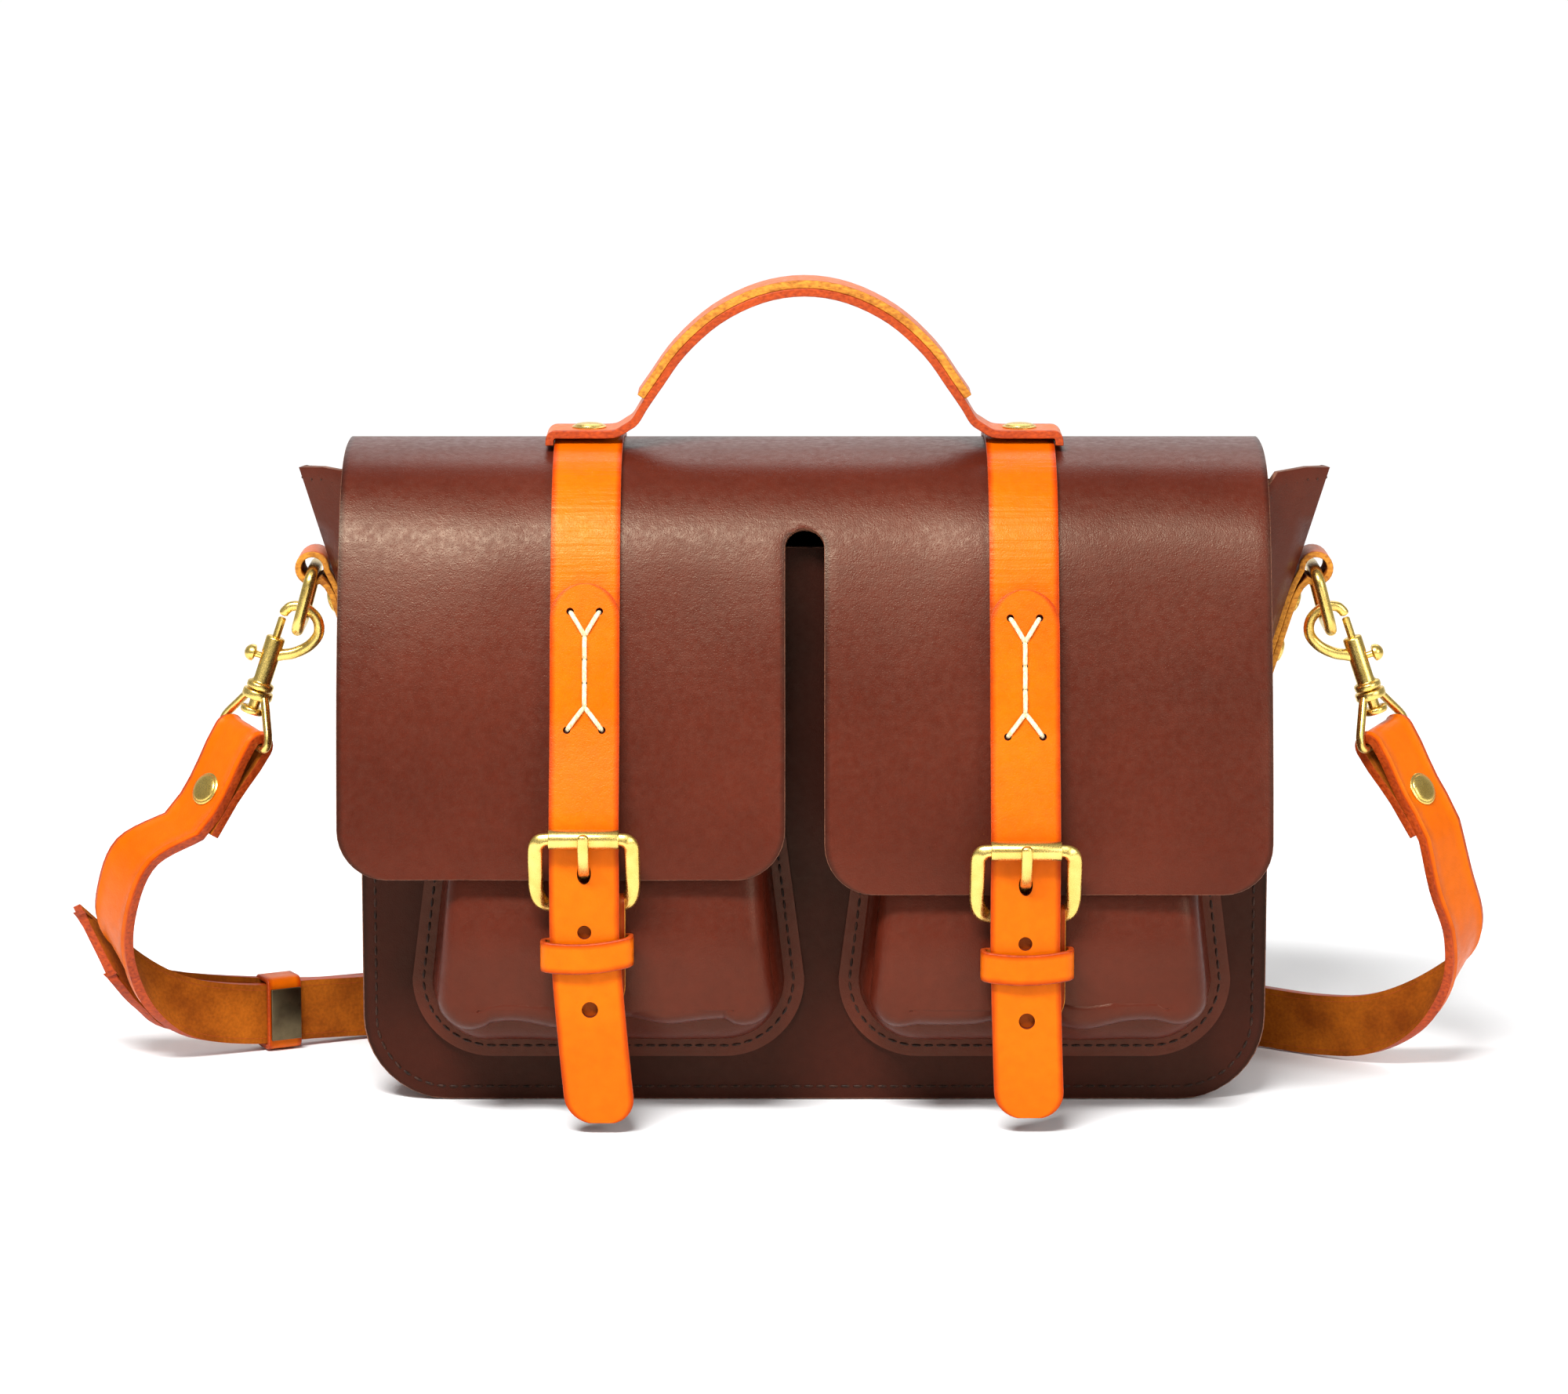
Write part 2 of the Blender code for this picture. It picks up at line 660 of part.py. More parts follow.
def keeper(side, sign):
    """Leather loop round the tail and the short strap."""
    inner = rounded_rectangle((-13.4, -1.9), (13.4, 6.1), 1.2, 2)
    outer = rounded_rectangle((-15.2, -3.7), (15.2, 7.9), 3.0, 3)
    placing = axes_at(buckle_point(side, sign, 0.0, KEEPER_DROP, 0.0), (1, 0, 0), (0, 0, 1))
    return plate(f"keeper_{side}", [outer, inner], KEEPER_HEIGHT, placing, TAN)


def snap_half(name, side, sign, out, shade):
    """One half of the concealed magnetic fastener, from its front face inwards."""
    chamfer = 0.5
    r = SNAP_RADIUS
    profile = [(0.0, 0.0), (r - chamfer, 0.0), (r, -chamfer), (r, -SNAP_THICKNESS + chamfer),
               (r - chamfer, -SNAP_THICKNESS), (0.0, -SNAP_THICKNESS)]
    placing = axes_at(buckle_point(side, sign, 0.0, SNAP_DROP, out), (1, 0, 0), (0, -1, 0))
    return turned(name, profile, placing, shade, steps=12)


def flap_parts():
    flap()
    for side, sign in SIDES:
        back_strap(side, sign)
        upper_strap(side, sign)
        lower_strap(side, sign)
        buckle_frame(side, sign)
        roller(side, sign)
        prong(side, sign)
        short_strap(side, sign)
        keeper(side, sign)
        front = HEEL_OUT + BUCKLE_WIRE + GAP + SHORT_STRAP_THICKNESS / 2
        strap_snap = front - SHORT_STRAP_THICKNESS / 2 - GAP
        snap_half(f"strap_snap_{side}", side, sign, strap_snap, STEEL)
        snap_half(f"pocket_snap_{side}", side, sign, strap_snap - SNAP_THICKNESS - GAP, STEEL)


# ---------------------------------------------------------------- rivets

def rivet(name, placing, cap, grip, head=3.6, dome=2.2):
    """Domed cap above the placing, shank through the leather and a flat head below it."""
    profile = [(0.0, dome), (cap * 0.62, dome * 0.86), (cap, dome * 0.22), (cap, 0.0),
               (RIVET_SHANK, 0.0), (RIVET_SHANK, -grip), (head, -grip),
               (head, -grip - 1.2), (0.0, -grip - 1.2)]
    return turned(name, profile, placing, BRASS, steps=12)


def rivet_hole(obj, placing, depth):
    cutter = cylinder_cutter(f"cut_{obj.name}_{len(obj.modifiers)}", RIVET_HOLE, -depth, 6.0, placing)
    return boolean(obj, cutter, "DIFFERENCE")


# ---------------------------------------------------------------- handle

def ribbon_rows(points, across, width):
    half = Vector(across) * width / 2
    return [[Vector(p) - half, Vector(p) + half] for p in points]


def handle():
    arch = [(55.6, HANDLE_Y, HANDLE_PIVOT_Z + 2.6), (50.5, HANDLE_Y, 250.0), (42.4, HANDLE_Y, 261.2),
            (30.0, HANDLE_Y, 272.4), (15.0, HANDLE_Y, 279.8), (0.0, HANDLE_Y, 282.2)]
    right = smooth(arch, 3)
    left = [(-p[0], p[1], p[2]) for p in right[-2::-1]]
    centre = Vector((FLAP_CENTRE, 0.0, 0.0))
    line = [Vector(p) + centre for p in right + left]
    sheet("handle_strap", ribbon_rows(line, (0, 1, 0), HANDLE_WIDTH), HANDLE_THICKNESS, 0.0, TAN)
    lift = HANDLE_THICKNESS + GAP
    grip = []
    for i in range(1, len(line) - 1):
        run = (line[i + 1] - line[i - 1]).normalized()
        grip.append(line[i] + Vector((run.z, 0.0, -run.x)) * lift)
    sheet("handle_grip", ribbon_rows(grip, (0, 1, 0), HANDLE_WIDTH - 1.0), HANDLE_THICKNESS, 0.0, TAN)


def handle_end(side, sign):
    """End tab over the flap strap, with its leg down past the strap's outer edge, and its rivet."""
    edge = STRAP_SPACING + STRAP_WIDTH / 2 + GAP + HANDLE_THICKNESS / 2
    line = [(61.0, 235.0), (63.4, 233.4), (66.5, TAB_Z), (edge - 1.4, TAB_Z), (edge - 0.3, TAB_Z - 0.5),
            (edge, TAB_Z - 1.6), (edge, TAB_Z - 3.7)]
    points = [(FLAP_CENTRE + sign * x, HANDLE_Y, z) for x, z in line]
    rows = ribbon_rows(points, (0, 1, 0), HANDLE_WIDTH)
    tab = sheet(f"handle_tab_{side}", rows, HANDLE_THICKNESS, 0.0, TAN)
    spot = (strap_x(sign), HANDLE_Y, TAB_Z + HANDLE_THICKNESS / 2 + GAP)
    placing = axes_at(spot, (1, 0, 0), (0, 0, 1))
    rivet(f"handle_rivet_{side}", placing, 6.0, 11.2)
    for obj in (tab, PARTS.objects[f"strap_upper_{side}"], PARTS.objects["flap"]):
        rivet_hole(obj, placing, 16.0)


# ---------------------------------------------------------------- side tabs, rings and snap hooks

def wing_axes(sign):
    """Directions along and off the flared gusset."""
    tilt = math.atan(WING_SLOPE)
    along = Vector((math.sin(tilt), 0.0, math.cos(tilt)))
    off = Vector((math.cos(tilt), 0.0, -math.sin(tilt)))
    return mirrored(along, sign), mirrored(off, sign)


def side_tab(side, sign):
    """Leather folded round the ring and riveted to the gusset."""
    along, off = wing_axes(sign)
    foot = mirrored(WING_FOOT, sign)
    y_axis = off.cross(along)
    outline = [(1.0, GAP), (34.0, GAP)] + arc(TAB_LOOP, 6.0, -100, 190, 12)
    outline += [(35.0, TAB_STACK), (1.0, TAB_STACK)]
    hole = arc(TAB_LOOP, 4.0, 0, 330, 11)
    turn = Matrix((along, off, along.cross(off))).transposed().to_4x4()
    placing = Matrix.Translation(foot * MM) @ turn
    tab = plate(f"side_tab_{side}", [outline, hole], SIDE_TAB_WIDTH, placing, TAN)
    tab = to_mesh(tab)
    for number, reach in enumerate(TAB_RIVETS, 1):
        spot = foot + along * reach + off * (TAB_STACK + GAP)
        at_rivet = axes_at(spot, y_axis, off)
        rivet(f"tab_rivet_{side}_{number}", at_rivet, 4.6, 7.6)
        rivet_hole(tab, at_rivet, 12.0)
        rivet_hole(PARTS.objects["gusset"], at_rivet, 12.0)


def ring(side, sign):
    """Oval link through the tab's loop and the snap hook."""
    top = mirrored(RING_TOP, sign)
    bottom = mirrored(RING_BOTTOM, sign)
    w = RING_HALF_WIDTH
    corner = 3.8
    length = (bottom - top).length
    down = (bottom - top).normalized()
    flat = []
    for x, y, start in ((w - corner, corner, 270), (w - corner, length - corner, 0),
                        (corner - w, length - corner, 90), (corner - w, corner, 180)):
        flat += arc((x, y), corner, start, start + 90, 4)
    points = [top + Vector((0, 1, 0)) * x + down * y for x, y in flat]
    return tube(f"ring_{side}", points, RING_WIRE, BRASS, cyclic=True)


def hook_placing(sign):
    """Snap hook's own axes at the top of its barrel: Z up the barrel, X to the thumb knob."""
    up = mirrored((-math.sin(HOOK_TILT), 0.0, math.cos(HOOK_TILT)), sign)
    out = mirrored((math.cos(HOOK_TILT), 0.0, math.sin(HOOK_TILT)), sign)
    return axes_at(mirrored(HOOK_TOP, sign), out, up)


def snap_hook(side, sign):
    """Barrel with a bore and a thumb slot, the hook itself, a collar and the swivel's stud."""
    place = hook_placing(sign)
    name = f"snap_hook_{side}"
    profile = [(0.0, 0.0), (3.1, 0.0), (3.4, -0.4), (3.4, -17.0), (4.8, -17.4), (4.8, -19.6), (2.0, -19.7),
               (2.0, -26.4), (4.3, -26.6), (4.3, -28.6), (0.0, -28.8)]
    barrel = turned(name, profile, place, BRASS)
    route = smooth([(-2.7, 0, -6.0), (-7.6, 0, -3.6), (-12.0, 0, 0.8), (-13.8, 0, 6.0), (-11.6, 0, 10.8),
                    (-6.4, 0, 13.2), (-1.9, 0, 12.0), (-0.1, 0, 9.6)], 2) + [Vector((0.0, 0.0, 8.2))]
    hook = to_mesh(tube(f"guide_{name}", route, HOOK_WIRE, BRASS, placing=place))
    boolean(barrel, hook, "UNION")
    boolean(barrel, cylinder_cutter(f"cut_{name}_bore", GATE_RADIUS + 0.35, -16.9, 2.0, place), "DIFFERENCE")
    boolean(barrel, box_cutter(f"cut_{name}_slot", (0.0, -1.6, -16.4), (6.0, 1.6, -6.2), place), "DIFFERENCE")
    return barrel


def gate(side, sign):
    """Sprung bolt that closes the hook, with the thumb knob on its side."""
    place = hook_placing(sign)
    name = f"gate_{side}"
    r = GATE_RADIUS
    pin = [(0.0, 7.4), (r - 0.2, 7.4), (r, 7.2), (r, -9.6), (0.0, -9.6)]
    bolt = turned(name, pin, place, BRASS, steps=12)
    knob_place = place @ axes_at((0.0, 0.0, -8.0), (0, 0, 1), (1, 0, 0))
    head = [(0.0, 8.9), (1.6, 8.5), (2.7, 7.3), (3.0, 5.9), (2.6, 5.3)]
    stem = [(1.15, 5.1), (1.15, 0.2), (0.0, 0.2)]
    knob = turned(f"guide_{name}", head + stem, knob_place, BRASS, steps=12)
    return boolean(bolt, knob, "UNION")


def stirrup(side, sign):
    """Swivel loop: a collar round the hook's stud and a bar that the strap is folded on."""
    place = hook_placing(sign) @ Matrix.Rotation(STIRRUP_TURN * sign, 4, "Z")
    name = f"stirrup_{side}"
    profile = [(2.45, -20.1), (5.2, -20.1), (5.4, -20.3), (5.4, -23.0), (5.2, -23.2), (2.45, -23.2)]
    profile.append(profile[0])
    collar = turned(name, profile, place, BRASS)
    half = [(4.4, -21.8), (6.4, -24.4), (9.0, -28.0), (12.9, -33.2), (13.8, -35.4), (13.5, -37.4),
            (12.1, -STIRRUP_REACH)]
    route = [(x, 0.0, z) for x, z in half] + [(-x, 0.0, z) for x, z in reversed(half)]
    wire = to_mesh(tube(f"guide_{name}", route, STIRRUP_WIRE, BRASS, placing=place))
    return boolean(collar, wire, "UNION")


def side_hardware():
    for side, sign in SIDES:
        side_tab(side, sign)
        ring(side, sign)
        snap_hook(side, sign)
        gate(side, sign)
        stirrup(side, sign)


# ---------------------------------------------------------------- shoulder strap

def fold_frame(sign):
    """Bar centre, bar direction (towards the front), run to the rivet and outward side of the fold."""
    place = hook_placing(sign)
    bar = place @ Vector((0.0, 0.0, -STIRRUP_REACH * MM)) / MM
    turn = place.to_3x3() @ Matrix.Rotation(STIRRUP_TURN * sign, 3, "Z")
    along_bar = turn @ Vector((1.0, 0.0, 0.0))
    if along_bar.y > 0:
        along_bar = -along_bar
    run = mirrored((0.55, -0.10, -0.83), sign)
    run = (run - along_bar * run.dot(along_bar)).normalized()
    out = run.cross(along_bar).normalized()
    if out.y > 0:
        out = -out
    return bar, along_bar, run, out


def strap_band(name, stations):
    """A band through (middle, width direction) stations."""
    rows = []
    for middle, across in stations:
        half = Vector(across).normalized() * SHOULDER_WIDTH / 2
        rows.append([Vector(middle) - half, Vector(middle) + half])
    return sheet(name, rows, SHOULDER_THICKNESS, 0.0, TAN)


def folded_end(sign):
    """Stations round the stirrup's bar, from the short back layer to the front layer."""
    bar, across, run, out = fold_frame(sign)
    near = SHOULDER_THICKNESS / 2 + GAP / 2
    turn = STIRRUP_WIRE + GAP + SHOULDER_THICKNESS / 2 + 0.5
    shape = [(35.0, -near), (28.0, -near), (21.0, -near), (14.0, -near - 0.7), (7.0, -turn + 0.3)]
    shape += arc((0.0, 0.0), turn, -90, -270, 5)
    shape += [(7.0, turn - 0.3), (14.0, near + 0.7), (21.0, near), (28.0, near), (35.0, near)]
    return [(bar + run * r + out * o, across) for r, o in shape]


def bend(start, places, pieces=2):
    """Smooth stations from the fold through the given places (middle, width direction)."""
    before = [start[-2], start[-1]]
    middles = [m for m, _ in before] + [Vector(m) for m, _ in places]
    acrosses = [a for _, a in before] + [Vector(a) for _, a in places]
    curve = list(zip(smooth(middles, pieces), smooth(acrosses, pieces)))
    return start[:-1] + curve[pieces + 1:]


# Middles and width directions, towards the edge that faces the front or the floor
LEFT_STRAP = (
    ((-240.0, -6.0, 82.0), (0.66, -0.74, -0.24)), ((-248.0, -2.0, 64.0), (0.62, -0.77, -0.25)),
    ((-249.0, 4.0, 47.0), (0.52, -0.70, -0.50)), ((-241.0, 12.0, 31.0), (0.30, -0.45, -0.85)),
    ((-226.0, 22.0, 19.0), (0.10, -0.18, -0.98)), ((-204.0, 33.0, 13.9), (0.0, 0.0, -1.0)),
    ((-184.0, 43.5, 13.4), (0.0, 0.0, -1.0)), ((-156.0, 58.0, 11.8), (0.0, 0.0, -1.0)),
    ((-122.0, 71.0, 11.4), (0.0, 0.0, -1.0)), ((-80.0, 77.0, 11.4), (0.0, 0.0, -1.0)),
    ((-30.0, 78.0, 11.4), (0.0, 0.0, -1.0)))
RIGHT_STRAP = (
    ((226.0, -6.0, 72.0), (-0.66, -0.74, -0.24)), ((231.5, -2.0, 54.0), (-0.60, -0.77, -0.25)),
    ((230.0, 3.0, 38.0), (-0.45, -0.70, -0.52)), ((219.0, 9.0, 24.0), (-0.24, -0.40, -0.88)),
    ((202.0, 15.5, 14.5), (-0.06, -0.10, -0.99)), ((184.0, 26.0, 11.6), (0.0, 0.0, -1.0)),
    ((160.0, 43.0, 11.4), (0.0, 0.0, -1.0)), ((130.0, 64.0, 11.4), (0.0, 0.0, -1.0)),
    ((95.0, 78.0, 11.4), (0.0, 0.0, -1.0)), ((45.0, 81.8, 11.4), (0.0, 0.0, -1.0)),
    ((-30.0, 81.8, 11.4), (0.0, 0.0, -1.0)))
TAIL_END_STRAP = (
    ((-232.0, 30.0, 19.5), (0.10, -0.18, -0.98)), ((-246.0, 23.0, 29.5), (0.22, -0.30, -0.93)),
    ((-255.0, 15.0, 41.0), (0.34, -0.36, -0.87)))


def outer_layer(stations, distance):
    """Stations moved to the grain side of a strap."""
    moved = []
    for i, (middle, across) in enumerate(stations):
        before = stations[max(i - 1, 0)][0]
        after = stations[min(i + 1, len(stations) - 1)][0]
        run = (after - before).normalized()
        side = run.cross(across).normalized()
        if side.y < 0:
            side = -side
        moved.append((middle + side * distance, across))
    return moved


def shoulder_straps():
    left = bend(folded_end(-1.0), LEFT_STRAP)
    right = bend(folded_end(1.0), RIGHT_STRAP)
    over = [s for s in left if s[0].z < 14.5 and s[0].x > -206.0]
    over = [s for s in outer_layer(over, SHOULDER_THICKNESS + GAP + 0.2) if s[0].x < -36.0]
    tail = over[::-1] + [(Vector(m), Vector(a)) for m, a in TAIL_END_STRAP]
    straps = [strap_band("shoulder_strap_left", left), strap_band("shoulder_strap_right", right + tail)]
    for (side, sign), strap in zip(SIDES, straps):
        bar, across, run, out = fold_frame(sign)
        placing = axes_at(bar + run * 22.0 + out * (SHOULDER_THICKNESS + 2.5 * GAP), across, out)
        rivet(f"shoulder_rivet_{side}", placing, 6.0, 2 * SHOULDER_THICKNESS + 5 * GAP)
        rivet_hole(strap, placing, 16.0)
    stud_x, stud_y = STUD_STATION
    stud_spot = (stud_x, stud_y + SHOULDER_THICKNESS / 2 + GAP, SHOULDER_FLOOR_Z)
    stud_place = axes_at(stud_spot, (1, 0, 0), (0, 1, 0))
    rivet("shoulder_stud", stud_place, 4.5, 2 * SHOULDER_THICKNESS + 5.5 * GAP)
    for strap in straps:
        cutter = cylinder_cutter(f"cut_{strap.name}_stud", RIVET_HOLE, -16.0, 8.0, stud_place)
        boolean(strap, cutter, "DIFFERENCE")
    shoulder_keeper()


def shoulder_keeper():
    """Leather loop that holds the strap's tail, and the metal plate on its inner side."""
    run = Vector((20.0, 10.5, 0.0)).normalized()
    placing = axes_at(KEEPER_STATION, (-run.y, run.x, 0.0), run)
    inner = rounded_rectangle((-2.3, -11.5), (6.1, 11.5), 0.9, 2)
    outer = rounded_rectangle((-4.1, -13.3), (7.9, 13.3), 2.4, 3)
    plate("shoulder_keeper", [outer, inner], 13.0, placing, TAN)
    face = placing @ Matrix.Translation(Vector((-5.1, 0.0, 0.0)) * MM)
    bm = bmesh.new()
    bmesh.ops.create_cube(bm, size=1.0)
    bmesh.ops.scale(bm, vec=Vector((1.2, 19.0, 11.0)) * MM, verts=bm.verts)
    metal = finish(mesh_object("keeper_plate", bm), BRONZE)
    metal.matrix_world = face
    bevel = metal.modifiers.new("edges", "BEVEL")
    bevel.width = 0.3 * MM
    bevel.segments = 1


# ---------------------------------------------------------------- assembly

panel("front_panel", -(GUSSET_HALF_DEPTH + GAP + PANEL_THICKNESS / 2), FRONT_TOP)
panel("back_panel", GUSSET_HALF_DEPTH + GAP + PANEL_THICKNESS / 2, BACK_TOP)
gusset()
for pocket_side, _ in SIDES:
    pocket(pocket_side)
flap_parts()
handle()
for tab_side, tab_sign in SIDES:
    handle_end(tab_side, tab_sign)
side_hardware()
shoulder_straps()
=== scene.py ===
"""Looks of the leather satchel bag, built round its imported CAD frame.

Units in the constants are millimetres.  +X is the bag's right as seen from the front, +Y is its back
and +Z is up.  The origin is on the floor, under the middle of the body.
"""
import math

import bmesh
import bpy
from mathutils import Matrix, Vector, noise
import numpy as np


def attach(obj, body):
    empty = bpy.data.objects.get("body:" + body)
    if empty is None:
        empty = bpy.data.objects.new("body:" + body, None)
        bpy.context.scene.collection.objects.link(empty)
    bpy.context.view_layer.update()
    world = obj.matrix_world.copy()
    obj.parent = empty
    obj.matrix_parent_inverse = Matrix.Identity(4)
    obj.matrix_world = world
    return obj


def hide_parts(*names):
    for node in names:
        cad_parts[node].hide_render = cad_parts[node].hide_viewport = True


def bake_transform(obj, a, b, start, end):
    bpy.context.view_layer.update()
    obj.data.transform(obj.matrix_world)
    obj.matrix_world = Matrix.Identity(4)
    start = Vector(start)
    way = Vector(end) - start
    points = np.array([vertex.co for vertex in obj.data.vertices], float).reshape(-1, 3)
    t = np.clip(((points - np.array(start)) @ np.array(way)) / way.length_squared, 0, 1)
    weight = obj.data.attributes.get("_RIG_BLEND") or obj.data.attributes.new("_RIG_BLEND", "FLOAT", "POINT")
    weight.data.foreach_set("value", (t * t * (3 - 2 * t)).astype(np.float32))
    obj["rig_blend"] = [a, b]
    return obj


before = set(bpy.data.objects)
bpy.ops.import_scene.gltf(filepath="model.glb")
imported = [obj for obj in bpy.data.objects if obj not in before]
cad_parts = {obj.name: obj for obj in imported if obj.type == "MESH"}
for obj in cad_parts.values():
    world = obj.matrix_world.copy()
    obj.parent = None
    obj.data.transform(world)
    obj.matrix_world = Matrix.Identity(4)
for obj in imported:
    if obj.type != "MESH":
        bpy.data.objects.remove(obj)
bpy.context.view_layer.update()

MM = 0.001
GAP = 0.3
SIDES = (("l", -1.0), ("r", 1.0))

# Body
BODY_HALF_WIDTH = 158.0
CORNER_RADIUS = 30.0
PANEL_THICKNESS = 2.5
GUSSET_THICKNESS = 2.0
GUSSET_HALF_DEPTH = 35.7
FLANGE = 8.0
FRONT_TOP = 196.0
BACK_TOP = 211.7
WING_BASE = 144.0
WING_SLOPE = 0.311
BASE_BULGE = 6.0
SIDE_BULGE = 3.9
PANEL_FACE = GUSSET_HALF_DEPTH + GAP + PANEL_THICKNESS
PANEL_RIPPLE = (62.0, 1.1)            # wavelength and height of the leather's unevenness
SEWN_REACH = 25.0                     # how far the seams hold a panel flat
LIP = slice(5, -5)                    # the gusset's stations between its flanges
LIP_SEAM = 4.2

# Flap, straps and buckles
FLAP_CENTRE = -3.5
FLAP_HALF_WIDTH = 160.0
FLAP_THICKNESS = 2.5
FLAP_BOTTOM = {"l": 87.0, "r": 82.0}
FLAP_CORNER = 17.0
SLOT_RADIUS = 6.7
SLOT_TOP = 203.0
STRAP_SPACING = 75.1
STRAP_WIDTH = 23.8
STRAP_THICKNESS = 2.5
STRAP_Y = -88.5
UPPER_STRAP_END = 132.0
BACK_STRAP = (150.0, 208.0)           # heights of the end that is sewn to the back panel
BLUNT_END = 0.15
ROLLER_Z = {"l": 104.0, "r": 100.0}
TAIL_END = {"l": 3.6, "r": 5.4}
TAIL_LEAN = {"l": 5.5, "r": 2.0}      # how far the loose tail's tip hangs to the right
TAIL_CORNER = 9.5
ROLLER_RADIUS = 3.3
ROLLER_LENGTH = 24.0
BUCKLE_WIRE = 2.1
BUCKLE_HALF_WIDTH = 16.4
HEEL_DROP = 25.0
SIDE_BAR_SWELL = 0.24
PRONG_RADIUS = 1.3
PRONG_BREADTH = 1.5
SHORT_STRAP_THICKNESS = 1.8
SHORT_STRAP_HALF = 11.8
SHORT_STRAP_SHIFT = 2.0
SHORT_STRAP_END = 64.8
SHORT_STRAP_CORNER = 12.5
PRONG_SLOT = (4.4, 15.0, 17.5)
PRONG_SLOT_DROP = 22.7
KEEPER_THICKNESS = 1.8
KEEPER_HEIGHT = 10.5
KEEPER_DROP = 41.0
KEEPER_HALF_WIDTH = 15.0
KEEPER_TILT = {"l": 0.06, "r": 0.02}
KEEPER_PROUD = 0.9
KEEPER_SAG = 1.4                      # how far the middle of its front hangs below the ends
KEEPER_BACK_SLOPE = 0.12
KEEPER_SHIFT = 0.8
STRAP_START = {"l": 184.5, "r": 182.5}
# Holes below the roller, the prong's first: how far down, radius, length for each unit of width
STRAP_HOLES = ((12.6, 2.4, 1.55), (33.0, 2.4, 1.0), (60.0, 2.8, 1.0))
LACE_RADIUS = 0.82
LACE_HOLE = 1.3
LACE_SPINE_HOLE = 1.0
LACE_SINK = 1.9
# How high a stitch stands along its length
LACE_ARCH = ((0.07, -0.4), (0.2, 0.5), (0.38, 0.78), (0.62, 0.78), (0.8, 0.5), (0.93, -0.4))
LACE_TOP = {"l": 177.6, "r": 175.4}
LACE_PITCH = 7.8
LACE_LEGS = 7.8

# Pockets
POCKET_CENTRE = {"l": -72.0, "r": 77.0}
POCKET_HALF_WIDTH = 68.5
POCKET_BOTTOM = 16.0
POCKET_TOP = 150.0
POCKET_CORNER = 28.0
POCKET_DEPTH = 37.0
POCKET_TOP_DEPTH = 19.0
POCKET_SHOULDER = 64.0
POCKET_TAPER = 0.80
POCKET_THICKNESS = 2.0
POCKET_SEED = {"l": 3.1, "r": 8.4}
POCKET_SEAM = 3.8
CREASE_TOP = 112.0                    # the moulded creases have faded out here
CREASE_FADE = 50.0
CREASE_WAVE = (24.0, 0.55)            # wavelength and strength of their unevenness
POCKET_RIPPLE = (34.0, 1.1)
FACE_RIPPLE = (45.0, 1.0)
FACE_CROWN = 0.8
TAPER_START = 44.0

# Handle
HANDLE_Y = -10.0
HANDLE_WIDTH = 20.0
HANDLE_THICKNESS = 2.8
TAB_Z = 232.7
GRIP_START = 243.6

# Side hardware; right-hand values, mirrored for the left
WING_FOOT = Vector((156.0, 0.0, WING_BASE))
SIDE_TAB_WIDTH = 19.0
TAB_LOOP = (44.2, 7.4)
TAB_RIVETS = (11.4, 30.0)
RING_WIRE = 2.1
RING_TOP = Vector((176.0, 0.0, 183.1))
RING_BOTTOM = Vector((181.7, 0.0, 162.1))
RING_HALF_WIDTH = 13.6
RING_CORNER = 5.2
HOOK_TOP = Vector((190.0, 0.0, 158.2))
HOOK_TILT = math.radians(18.7)
HOOK_WIRE = 1.8
HOOK_ROOT = 1.16                      # the hook's wire tapers from this many times HOOK_WIRE
HOOK_TAPER = 0.22
GATE_RADIUS = 1.4
STIRRUP_WIRE = 1.3
STIRRUP_TURN = math.radians(48.9)
STIRRUP_REACH = 38.5

# Shoulder strap
SHOULDER_WIDTH = 22.0
SHOULDER_THICKNESS = 3.3
CREASE_LINE = (1.6, 2.0, 2.4)         # the line pressed inside each edge: its start, middle and end
CREASE_DEPTH = 0.28
FOLD_FRONT = 18                       # a station on the front layer of the fold

# Thread
STITCH_PITCH = 4.3
STITCH_LENGTH = 3.3
STITCH_RADIUS = 0.48
STITCH_LIFT = 0.08
STITCH_FLATNESS = 0.9
SEAM_INSET = 4.6

EDGE_REACH = 12.0         # how far the rubbed colour of an edge can reach
WELD = 0.00001            # metres; points closer than this are one


# ---------------------------------------------------------------- materials

EVEN = (1.0, 1.0, 1.0)


